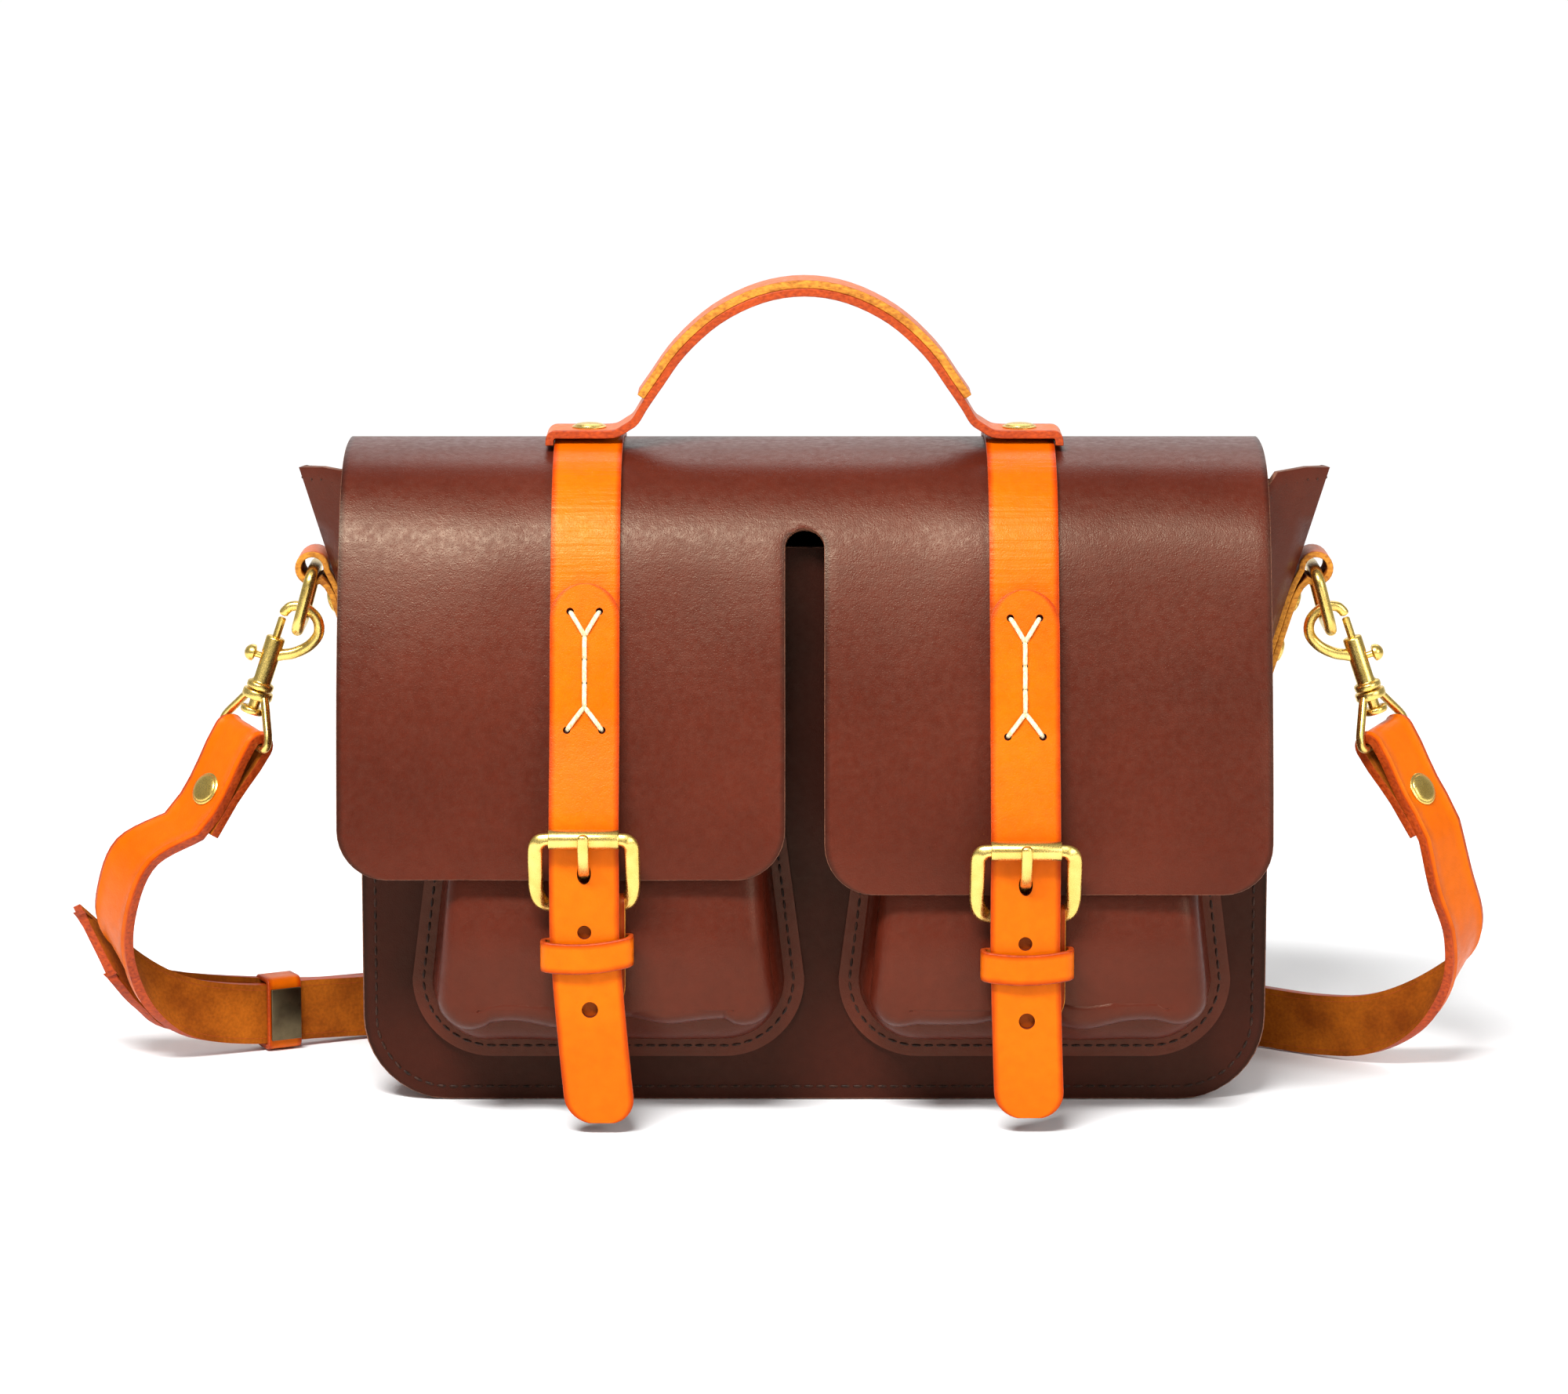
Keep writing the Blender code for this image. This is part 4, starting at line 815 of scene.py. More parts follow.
def pocket(side):
    """Moulded pocket: flange, rolled wall, crease, overhanging lip and a soft face."""
    base_y = -(PANEL_FACE + GAP)
    section = [tuple(p) for p in smooth([p[:3] for p in POCKET_SECTION], 3)]
    rises = [p[0] for p in smooth([(p[3], 0.0, 0.0) for p in POCKET_SECTION], 3)]
    centre = POCKET_CENTRE[side]
    seed = POCKET_SEED[side]

    def depth(z):
        share = max((z - POCKET_SHOULDER) / (POCKET_TOP - POCKET_SHOULDER), 0.0)
        return POCKET_DEPTH + (POCKET_TOP_DEPTH - POCKET_DEPTH) * share

    def place(station, insets, rise):
        (x, z), way = station
        plain, creased, bottom = insets
        low = ease((CREASE_TOP - z) / CREASE_FADE)
        creased += (bottom - creased) * way[1] ** 2
        size, strength = CREASE_WAVE
        wave = 1.0 + strength * noise.noise(Vector((x / size, z / size, seed)))
        inset = min(plain + (creased - plain) * low * wave, POCKET_CORNER - 3.0 + plain / 10.0)
        x, z = x - way[0] * inset, z - way[1] * inset
        risen = clamped((z - TAPER_START) / (POCKET_TOP - TAPER_START))
        spread_x = 1.0 + (POCKET_TAPER - 1.0) * risen
        y = base_y - max(rise, 0.0) * depth(z)
        y -= ripple((x, z, seed), *POCKET_RIPPLE, seed) * rise * ease((118.0 - z) / 30.0)
        return (centre + x * spread_x, y, z)

    def moulded(stations):
        return [[place(s, insets, rise) for insets, rise in zip(section, rises)] for s in stations]

    down, bottom, up = pocket_stations()
    left, base, right = moulded(down), moulded(bottom), moulded(up)
    face = []
    columns = len(base) + 1
    for a, b in zip(left[:-1], right[:0:-1]):
        start, end = Vector(a[-1]), Vector(b[-1])
        row = []
        for t in spread(0.0, 1.0, columns):
            p = start.lerp(end, t)
            crown = math.sin(math.pi * t) ** 0.6 * ease((p.z - 40.0) / 22.0)
            bulge = FACE_CROWN * crown
            row.append((p.x, p.y - bulge - ripple((p.x, p.z, seed), *FACE_RIPPLE) * crown, p.z))
        face.append(row)
    face.append([left[-1][-1]] + [row[-1] for row in base] + [right[0][-1]])
    bm = bmesh.new()
    grid(bm, left + base + right)
    grid(bm, face)
    for vert in bm.verts:
        vert[bm.verts.layers.float["edge"]] = 0.0
    bmesh.ops.remove_doubles(bm, verts=bm.verts, dist=2 * WELD)
    bmesh.ops.recalc_face_normals(bm, faces=bm.faces)
    if sum(f.normal.y * f.calc_area() for f in bm.faces) > 0:
        bmesh.ops.reverse_faces(bm, faces=bm.faces)
    piece = thicken(mesh_object(f"pocket_{side}", bm, CHESTNUT_HIDE), POCKET_THICKNESS, 1.0, 0.5, False)
    finish(piece, "root", "chestnut_leather", f"pocket_{side}")
    seam = bmesh.new()
    line = []
    for station in down + bottom + up:
        x, _, z = place(station, (POCKET_SEAM,) * 3, 0.0)
        line.append(Vector((x, base_y - POCKET_THICKNESS, z)))
    add_stitches(seam, line, (0.0, -1.0, 0.0))
    thread_piece(f"pocket_stitches_{side}", seam)


# ---------------------------------------------------------------- flap and its straps

PROFILE_POINTS = ((36.0, 212.3), (34.6, 217.6), (29.0, 222.2), (17.0, 224.9), (0.0, 225.5), (-18.0, 224.0),
                  (-33.0, 218.5), (-44.0, 208.0), (-52.0, 194.0), (-60.0, 172.0), (-67.0, 148.0),
                  (-73.0, 122.0), (-77.5, 98.0), (-79.6, 78.0))
PROFILE = Path(smooth([(y, z, 0.0) for y, z in PROFILE_POINTS], 6))
HINGE_START = (0.0, 41.6, 212.0)      # where the leather starts to turn with the flap
HINGE_END = (0.0, 26.0, 212.0)
FLAP_RIPPLE = (70.0, 1.8, 2.0)        # wavelength, height and seed
STRAP_HOLD = 15.0                     # the straps hold the flap flat this far from their middles
STRAP_FADE = 22.0
HELD_TOP = 60.0                       # and the fold holds it over this length


def strap_x(sign):
    return FLAP_CENTRE + sign * STRAP_SPACING


def flap():
    """One sheet with round lower corners and a round-topped slot in the middle of its front."""
    slot_start = PROFILE.length_at_height(SLOT_TOP)
    bm = bmesh.new()
    for side, sign in SIDES:
        end = PROFILE.length_at_height(FLAP_BOTTOM[side])
        stops = spread(0.0, slot_start, 34)
        stops += [slot_start + d for d in round_steps(SLOT_RADIUS, 14.0)]
        stops += spread(stops[-1], end - FLAP_CORNER, 22)[1:]
        stops += [end - d for d in reversed(round_steps(FLAP_CORNER, 0.0))][1:]
        rows = []
        for s in stops:
            pull = rounding(end - s, FLAP_CORNER)
            into_slot = s - slot_start
            inner = pull
            if into_slot > 0:
                inner += SLOT_RADIUS - rounding(into_slot, SLOT_RADIUS)
            outer = FLAP_HALF_WIDTH - pull
            row = []
            for t in spread(0.0, 1.0, 30):
                x = FLAP_CENTRE + sign * (inner + (outer - inner) * t)
                beside = abs(x - strap_x(sign)) - STRAP_HOLD
                free = ease(beside / STRAP_FADE) * ease((s - HELD_TOP) / HELD_TOP)
                y, z, _ = PROFILE.at(s, ripple((x, s, 0.0), *FLAP_RIPPLE) * free)
                row.append((x, y, z))
            rows.append(row if sign > 0 else row[::-1])
        grid(bm, rows)
    edge = bm.verts.layers.float["edge"]
    for vert in bm.verts:
        if abs(vert.co.x / MM - FLAP_CENTRE) < FLAP_HALF_WIDTH / 2 and vert.co.z > (SLOT_TOP - 1.0) * MM:
            vert[edge] = 0.0
    bmesh.ops.remove_doubles(bm, verts=bm.verts, dist=2 * WELD)
    piece = thicken(mesh_object("flap", bm, CHESTNUT_HIDE), FLAP_THICKNESS, 1.0, 0.8)
    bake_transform(piece, "root", "flap", start=metres(HINGE_START), end=metres(HINGE_END))
    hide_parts("flap")


def metres(point):
    return tuple(value * MM for value in point)


def strap_rows(x, path, stops, offset, round_start=0.0, round_end=0.0, lean=None):
    rows = []
    for s in stops:
        y, z, _ = path.at(s, offset)
        done, left = s - stops[0] + BLUNT_END, stops[-1] - s + BLUNT_END
        half = STRAP_WIDTH / 2 - max(rounding(done, round_start), rounding(left, round_end))
        middle = x + (lean(z) if lean else 0.0)
        rows.append([(middle + t * half, y, z) for t in spread(-1.0, 1.0, 8)])
    return rows


def upper_strap(side, sign):
    end = PROFILE.length_at_height(UPPER_STRAP_END)
    rows = strap_rows(strap_x(sign), PROFILE, spread(0.0, end, 60), FLAP_THICKNESS + GAP)
    low, high = BACK_STRAP
    stops = round_steps(STRAP_WIDTH / 2) + spread(STRAP_WIDTH / 2 + 2.0, high - low, 14)
    back = Path([(PANEL_FACE + GAP, z, 0.0) for z in BACK_STRAP])
    back_rows = strap_rows(strap_x(sign), back, stops, 0.0, round_start=STRAP_WIDTH / 2)
    piece = leather(f"strap_upper_{side}", back_rows + rows, STRAP_THICKNESS, 1.0, CREASED_HIDE, 0.6)
    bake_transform(piece, "root", "flap", start=metres(HINGE_START), end=metres(HINGE_END))
    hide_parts(f"strap_upper_{side}", f"strap_back_{side}")


def tail_lean(side):
    """How far the tail has hung to the right at each height, from just above the keeper down."""
    top = ROLLER_Z[side] - KEEPER_DROP + 8.0
    return lambda z: TAIL_LEAN[side] * max((top - z) / (top - TAIL_END[side]), 0.0) ** 1.25


def lower_strap_path(side):
    """Middle of the laced strap, from its round top down to the tail's tip."""
    middle = FLAP_THICKNESS + STRAP_THICKNESS + 2 * GAP + STRAP_THICKNESS / 2
    start = PROFILE.length_at_height(STRAP_START[side])
    over = [PROFILE.at(start + 12.0 * k, middle) for k in range(5)]
    roller = ROLLER_Z[side]
    down = [(-85.6, roller + 12.0, 0.0), (STRAP_Y, roller + 3.0, 0.0), (STRAP_Y, roller - 6.0, 0.0),
            (STRAP_Y, roller - 30.0, 0.0), (STRAP_Y, roller - 58.0, 0.0), (-87.6, 24.0, 0.0),
            (-86.6, TAIL_END[side], 0.0)]
    return Path(smooth(over + down, 6))


def across_strap(side, sign, path, x, z):
    """A placing on the laced strap's outer face, with Z pointing out of the leather."""
    s = path.length_at_height(z)
    y, height, _ = path.at(s, STRAP_THICKNESS / 2)
    y_out, z_out, _ = path.at(s, STRAP_THICKNESS / 2 + 1.0)
    lean = tail_lean(side)(z)
    return axes_at((strap_x(sign) + x + lean, y, height), (1, 0, 0), (0.0, y_out - y, z_out - height))


def lace_holes(side):
    """Holes of the lacing (x, z) and the pairs of holes that each stitch joins."""
    top = LACE_TOP[side]
    spine = [(0.0, top - 8.0 - LACE_PITCH * k) for k in range(4)]
    low = spine[-1][1] - LACE_LEGS
    holes = [(-5.0, top), (5.0, top)] + spine + [(-6.0, low), (6.0, low)]
    return holes, ((0, 2), (1, 2), (2, 3), (3, 4), (4, 5), (5, 6), (5, 7))


def lower_strap(side, sign):
    path = lower_strap_path(side)
    r = STRAP_WIDTH / 2
    stops = round_steps(r) + spread(r, path.length - TAIL_CORNER, 64)[1:-1]
    stops += [path.length - d for d in reversed(round_steps(TAIL_CORNER))]
    rows = strap_rows(strap_x(sign), path, stops, -STRAP_THICKNESS / 2, r, TAIL_CORNER, tail_lean(side))
    name = f"strap_lower_{side}"
    strap = leather(name, rows, STRAP_THICKNESS, 1.0, PUNCHED_HIDE, 0.6)
    holes, stitches = lace_holes(side)
    bm = bmesh.new()
    for drop, radius, length in STRAP_HOLES:
        placing = across_strap(side, sign, path, 0.0, ROLLER_Z[side] - drop)
        add_cylinder(bm, placing @ Matrix.Diagonal((1.0, length, 1.0, 1.0)), radius, 8.0)
    for x, z in holes:
        add_cylinder(bm, across_strap(side, sign, path, x, z), LACE_HOLE if x else LACE_SPINE_HOLE, 2.0, 16)
    cut(strap, bm, PUNCHED_HIDE, PUNCHED_HIDE.index(HOLE_EDGE))
    finish(strap, "flap", "tan_leather", name)
    laces = []
    for a, b in stitches:
        start = across_strap(side, sign, path, *holes[a])
        end = across_strap(side, sign, path, *holes[b])
        out = (start.col[2].to_3d() + end.col[2].to_3d()).normalized()
        p, q = start.translation, end.translation
        points = [p - out * LACE_SINK + (q - p) * 0.02]
        points += [p.lerp(q, t) + out * lift for t, lift in LACE_ARCH]
        points.append(q - out * LACE_SINK + (p - q) * 0.02)
        up = out.cross(q - p).normalized()
        section = oval(LACE_RADIUS, LACE_RADIUS, 2.0, 10)
        laces.append(sweep("lace", smooth(points, 3), up, section, shade=CREAM_THREAD))
    finish(joined(f"lacing_{side}", laces), "flap", "tan_leather")


def joined(name, pieces):
    """Separate closed shells kept as one piece."""
    bm = bmesh.new()
    for piece in pieces:
        bm.from_mesh(piece.data)
    shades = list(pieces[0].data.materials)
    for piece in pieces:
        bpy.data.objects.remove(piece, do_unlink=True)
    return settle(mesh_object(name, bm, shades), 60.0)


def buckle_point(side, sign, x, drop, out):
    return Vector((strap_x(sign) + x, STRAP_Y - out, ROLLER_Z[side] - drop))


ROLLER_OUT = STRAP_THICKNESS / 2 + GAP - 0.05 + ROLLER_RADIUS
HEEL_OUT = -(STRAP_THICKNESS / 2 + GAP + SHORT_STRAP_THICKNESS + GAP + BUCKLE_WIRE)


def buckle(side, sign):
    """Frame, roller and prong."""
    w = BUCKLE_HALF_WIDTH
    slope = (HEEL_OUT - ROLLER_OUT) / HEEL_DROP
    half = ((6.0, 0.0), (12.4, 0.0), (14.9, 0.8), (w - 0.2, 2.8), (w + 0.1, 7.0), (w + 0.1, 13.0),
            (w, 18.4), (15.3, 22.6), (12.4, 24.8), (6.0, HEEL_DROP))
    points = [(x, drop, ROLLER_OUT + slope * drop) for x, drop in half]
    points += [(-x, drop, out) for x, drop, out in reversed(points)]
    placed = smooth([buckle_point(side, sign, *p) for p in points], 4, cyclic=True)
    plane = Vector((0.0, slope, -1.0)).cross(Vector((1.0, 0.0, 0.0)))
    scales = [1.0 + SIDE_BAR_SWELL * ease((abs(p.x - strap_x(sign)) - 12.6) / 3.0) for p in placed]
    section = oval(BUCKLE_WIRE, 1.85, 3.2, 20)
    name = f"buckle_frame_{side}"
    finish(sweep(name, placed, plane, section, True, scales), "flap", "satin_brass", name)
    h = ROLLER_LENGTH / 2
    outer = ROLLER_RADIUS
    bore = BUCKLE_WIRE + GAP
    end = [(bore, h), (outer - 0.5, h), (outer - 0.15, h - 0.15), (outer, h - 0.5)]
    profile = end + [(r, -z) for r, z in reversed(end)] + end[:1]
    placing = axes_at(buckle_point(side, sign, 0.0, 0.0, ROLLER_OUT), (0, 0, 1), (1, 0, 0))
    name = f"roller_{side}"
    finish(lathe(name, profile, placing), name, "satin_brass", name)
    reach = BUCKLE_WIRE + GAP + PRONG_RADIUS
    eye = [(HEEL_DROP + reach * math.cos(a), HEEL_OUT - reach * math.sin(a))
           for a in (math.pi * k / 8 for k in range(9))]
    rest = [(16.6, -4.7), (14.2, -3.0), (13.0, 0.0), (11.8, 2.8), (8.4, 6.1), (4.4, 8.6), (0.8, 9.9),
            (-1.4, 10.1)]
    route = smooth([buckle_point(side, sign, 0.0, drop, out) for drop, out in eye + rest], 3)
    route, scales = tipped(route, PRONG_RADIUS)
    section = oval(PRONG_RADIUS, PRONG_RADIUS * PRONG_BREADTH, 2.8)
    name = f"prong_{side}"
    finish(sweep(name, route, Vector((1.0, 0.0, 0.0)), section, scales=scales), name, "satin_brass", name)


def short_strap(side, sign):
    """Folded round the heel bar; its front layer hangs behind the tail."""
    turn = BUCKLE_WIRE + GAP + SHORT_STRAP_THICKNESS / 2
    back = HEEL_OUT - turn
    front = HEEL_OUT + turn
    behind = front - SHORT_STRAP_THICKNESS - GAP
    route = [(49.6, behind), (45.0, behind), (40.0, behind), (34.6, behind), (30.0, back + 1.0)]
    route += [(HEEL_DROP + turn * math.cos(a), HEEL_OUT + turn * math.sin(a))
              for a in (math.radians(-75 - 15 * k) for k in range(13))]
    route += [(31.0, front), (38.0, front), (45.0, front), (52.3, front)]
    route += [(SHORT_STRAP_END - d, front) for d in reversed(round_steps(SHORT_STRAP_CORNER))][1:]
    x = strap_x(sign) + SHORT_STRAP_SHIFT
    rows = []
    for drop, out in route:
        hangs = abs(out - front) < 0.01
        half = SHORT_STRAP_HALF - (rounding(SHORT_STRAP_END - drop, SHORT_STRAP_CORNER) if hangs else 0.0)
        rows.append([(x + t * half, STRAP_Y - out, ROLLER_Z[side] - drop) for t in spread(-1.0, 1.0, 6)])
    # The short strap takes the darker tan: painted shade
    strap = leather(f"buckle_strap_{side}", rows, SHORT_STRAP_THICKNESS, 0.0, SHORT_HIDE, 0.4)
    bm = bmesh.new()
    middle = Vector((strap_x(sign), STRAP_Y + 6.5, ROLLER_Z[side] - PRONG_SLOT_DROP)) * MM
    size = Matrix.Diagonal((*metres(PRONG_SLOT), 1.0))
    bmesh.ops.create_cube(bm, size=1.0, matrix=Matrix.Translation(middle) @ size)
    cut(strap, bm, SHORT_HIDE, SHORT_HIDE.index(RAW_EDGE))
    finish(strap, "flap", "tan_leather", f"buckle_strap_{side}")


def rounded_rectangle(low, high, radius):
    (x0, y0), (x1, y1) = low, high
    corners = ((x1 - radius, y1 - radius, 0), (x0 + radius, y1 - radius, 90),
               (x0 + radius, y0 + radius, 180), (x1 - radius, y0 + radius, 270))
    found = []
    for x, y, start in corners:
        found += arc((x, y), radius, start, start + 90, 6)
    return found + found[:1]


def loop_rows(outline, half_width):
    """A band round an outline in the XY plane."""
    fine = []
    for (x0, y0), (x1, y1) in zip(outline, outline[1:]):
        pieces = max(1, round(math.dist((x0, y0), (x1, y1)) / 2.0))
        fine += [(x0 + (x1 - x0) * k / pieces, y0 + (y1 - y0) * k / pieces) for k in range(pieces)]
    fine.append(fine[0])
    return [[Vector((x, y, z)) for z in spread(-half_width, half_width, 6)] for x, y in fine]


def keeper(side, sign):
    """Leather loop round the tail and the short strap, its front a little proud in the middle."""
    middle = Vector((strap_x(sign), STRAP_Y, ROLLER_Z[side] - KEEPER_DROP))
    rows = []
    half = KEEPER_HALF_WIDTH
    for row in loop_rows(rounded_rectangle((-half, -2.8), (half, 7.0), 2.6), KEEPER_HEIGHT / 2):
        new = []
        for p in row:
            front = p.y < 0
            proud = math.cos(p.x / half * math.pi / 2) * KEEPER_PROUD if front else 0.0
            rise = KEEPER_SAG * (p.x / half) ** 2 if front else KEEPER_SAG - KEEPER_BACK_SLOPE * p.y
            lift = rise - KEEPER_SAG / 2 + p.x * KEEPER_TILT[side]
            new.append(middle + Vector((p.x + KEEPER_SHIFT, p.y - proud, p.z + lift)))
        rows.append(new)
    piece = leather(f"keeper_{side}", rows, KEEPER_THICKNESS, 0.0, TAN_HIDE, 0.45)
    finish(piece, f"keeper_{side}", "tan_leather", f"keeper_{side}")


# ---------------------------------------------------------------- rivets

def rivet(name, placing, cap, grip, body, head=3.6, dome=2.2):
    """Low domed cap with a rounded rim, its shank and a flat inner head."""
    top = [(cap * math.sin(math.radians(a)) * 0.86, dome * (0.42 + 0.58 * math.cos(math.radians(a))))
           for a in spread(0.0, 90.0, 8)]
    profile = top + [(cap * 0.95, dome * 0.34), (cap, dome * 0.18), (cap, 0.06), (cap * 0.97, 0.0)]
    profile += [(1.5, 0.0), (1.5, -grip), (head - 0.3, -grip), (head, -grip - 0.3), (head, -grip - 0.9),
                (head - 0.3, -grip - 1.2), (0.0, -grip - 1.2)]
    finish(lathe(name, profile, placing), body, "satin_brass", name)


# ---------------------------------------------------------------- handle

def handle():
    """One strap from tab to tab, and the second layer on top of its arch."""
    edge = STRAP_SPACING + STRAP_WIDTH / 2 + GAP + HANDLE_THICKNESS / 2
    tab = [(edge, TAB_Z - 3.9), (edge, TAB_Z - 2.6), (edge - 0.35, TAB_Z - 1.1), (edge - 1.6, TAB_Z - 0.1),
           (edge - 4.0, TAB_Z), (82.0, TAB_Z), (75.0, TAB_Z), (69.0, TAB_Z), (65.2, TAB_Z + 0.5),
           (61.6, TAB_Z + 2.6)]
    right = tab + [(58.8, 237.4), (55.6, 242.6), (50.5, 250.0), (42.4, 261.2), (30.0, 272.4), (15.0, 279.8),
                   (0.0, 282.2)]
    route = [(-x, z) for x, z in right] + right[-2::-1]
    line = smooth([(FLAP_CENTRE + x, HANDLE_Y, z) for x, z in route], 4)
    half = HANDLE_WIDTH / 2
    strap = leather("handle_strap", ribbon(line, half, 8), HANDLE_THICKNESS, 0.0, TAN_HIDE, 0.6)
    over = []
    for i, p in enumerate(line):
        if p.z > GRIP_START:
            run = (line[i + 1] - line[i - 1]).normalized()
            out = Vector((-run.z, 0.0, run.x))
            out = out if out.z > 0 or out.x * (p.x - FLAP_CENTRE) > 0 else -out
            over.append(p + out * (HANDLE_THICKNESS + 0.05))
    grip = leather("handle_grip", ribbon(over, half - 0.5, 8), HANDLE_THICKNESS, 0.0, GRIP_HIDE, 0.3)
    turn = {"start": metres((0.0, HANDLE_Y, 233.5)), "end": metres((0.0, HANDLE_Y, 248.0))}
    for piece, nodes in ((strap, ("handle_strap", "handle_tab_l", "handle_tab_r")), (grip, ("handle_grip",))):
        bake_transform(piece, "flap", "handle", **turn)
        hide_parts(*nodes)
    for side, sign in SIDES:
        placing = axes_at((strap_x(sign), HANDLE_Y, TAB_Z + HANDLE_THICKNESS / 2), (1, 0, 0), (0, 0, 1))
        rivet(f"handle_rivet_{side}", placing, 6.0, 11.2, "flap", dome=1.7)


# ---------------------------------------------------------------- side tabs, rings and snap hooks

def wing_axes(sign):
    tilt = math.atan(WING_SLOPE)
    along = Vector((math.sin(tilt), 0.0, math.cos(tilt)))
    off = Vector((math.cos(tilt), 0.0, -math.sin(tilt)))
    return mirrored(along, sign), mirrored(off, sign)


def side_tab(side, sign):
    """Leather folded round the ring and riveted to the gusset in two layers."""
    along, off = wing_axes(sign)
    foot = mirrored(WING_FOOT, sign)
    line = [(1.0, 1.38), (8.0, 1.38), (16.0, 1.38), (24.0, 1.38), (31.0, 1.4), (36.5, 1.75)]
    line += arc(TAB_LOOP, 5.0, -112, 196, 22)
    line += [(36.6, 4.5), (33.0, 3.68), (24.0, 3.52), (16.0, 3.52), (8.0, 3.52), (1.6, 3.52)]
    rows = ribbon([foot + along * reach + off * lift for reach, lift in line], SIDE_TAB_WIDTH / 2, 6)
    rows = rows if sign > 0 else [row[::-1] for row in rows]
    tab = leather(f"side_tab_{side}", rows, 2.1, 0.0, GRIP_HIDE, 0.4)
    finish(tab, "root", "tan_leather", f"side_tab_{side}")
    for number, reach in enumerate(TAB_RIVETS, 1):
        placing = axes_at(foot + along * reach + off * 4.6, (0, 1, 0), off)
        rivet(f"tab_rivet_{side}_{number}", placing, 4.6, 7.6, "root")


def ring(side, sign):
    top = mirrored(RING_TOP, sign)
    bottom = mirrored(RING_BOTTOM, sign)
    w = RING_HALF_WIDTH
    corner = RING_CORNER
    length = (bottom - top).length
    down = (bottom - top).normalized()
    flat = []
    for x, y, start in ((w - corner, corner, 270), (w - corner, length - corner, 0),
                        (corner - w, length - corner, 90), (corner - w, corner, 180)):
        flat += arc((x, y), corner, start, start + 90, 8)
    points = [top + Vector((0, 1, 0)) * x + down * y for x, y in flat]
    plane = down.cross(Vector((0.0, 1.0, 0.0)))
    name = f"ring_{side}"
    piece = sweep(name, points, plane, oval(RING_WIRE, RING_WIRE, 2.0, 18), cyclic=True)
    finish(piece, name, "satin_brass", name)


def hook_placing(sign):
    """Snap hook's own axes at the top of its barrel: Z up the barrel, X to the thumb knob."""
    up = mirrored((-math.sin(HOOK_TILT), 0.0, math.cos(HOOK_TILT)), sign)
    out = mirrored((math.cos(HOOK_TILT), 0.0, math.sin(HOOK_TILT)), sign)
    return axes_at(mirrored(HOOK_TOP, sign), out, up)


def snap_hook(side, sign):
    """Barrel with collars and a thumb slot, the tapering hook, and the sprung gate with its knob."""
    place = hook_placing(sign)
    body = f"hook_{side}"
    profile = [(0.0, 0.0), (2.7, 0.0), (3.2, -0.25), (3.4, -0.7), (3.4, -16.6), (3.6, -17.0), (4.5, -17.3),
               (4.8, -17.8), (4.8, -19.1), (4.5, -19.55), (3.8, -19.7), (2.0, -19.7), (2.0, -26.4),
               (3.9, -26.5), (4.3, -26.9), (4.3, -28.2), (3.9, -28.7), (0.0, -28.8)]
    barrel = lathe(f"snap_hook_{side}", profile, place, 48)
    bm = bmesh.new()
    slot_place = in_metres(place @ Matrix.Translation((3.0, 0.0, -11.3)))
    slot_size = Matrix.Diagonal((6.0 * MM, 3.2 * MM, 10.2 * MM, 1.0))
    bmesh.ops.create_cube(bm, size=1.0, matrix=slot_place @ slot_size)
    cut(barrel, bm, (BRASS,), 0)
    finish(barrel, body, "satin_brass", f"snap_hook_{side}")
    route = [(-1.4, 0, -6.8), (-3.6, 0, -5.6), (-7.8, 0, -3.4), (-12.0, 0, 0.8), (-13.8, 0, 6.0),
             (-11.6, 0, 10.8), (-6.4, 0, 13.2), (-1.9, 0, 12.2), (-0.2, 0, 9.9), (0.0, 0, 8.9)]
    points = smooth([place @ Vector(p) for p in route], 5)
    count = len(points) - 1
    scales = [HOOK_ROOT - HOOK_TAPER * i / count for i in range(len(points))]
    points, ends = tipped(points, HOOK_WIRE * 0.5)
    scales += [0.94 * e for e in ends[len(scales):]]
    across = place.to_3x3() @ Vector((0.0, 1.0, 0.0))
    section = oval(HOOK_WIRE, HOOK_WIRE * 0.95, 2.4, 18)
    finish(sweep(f"snap_hook_{side}_bow", points, across, section, scales=scales), body, "satin_brass")
    r = GATE_RADIUS
    pin_profile = [(0.0, 7.5), (r - 0.4, 7.4), (r, 7.0), (r, -9.2), (r - 0.4, -9.6), (0.0, -9.6)]
    gate = f"gate_{side}"
    finish(lathe(gate, pin_profile, place, 28), gate, "satin_brass", gate)
    knob_place = place @ axes_at((0.0, 0.0, -8.0), (0, 0, 1), (1, 0, 0))
    knob = [(3.0 * math.sin(math.radians(a)), 6.2 + 2.9 * math.cos(math.radians(a)))
            for a in spread(0.0, 100.0, 9)]
    knob += [(2.2, 5.2), (1.25, 5.0), (1.15, 4.2), (1.15, 0.2), (0.0, 0.2)]
    finish(lathe(f"{gate}_knob", knob, knob_place, 32), gate, "satin_brass")


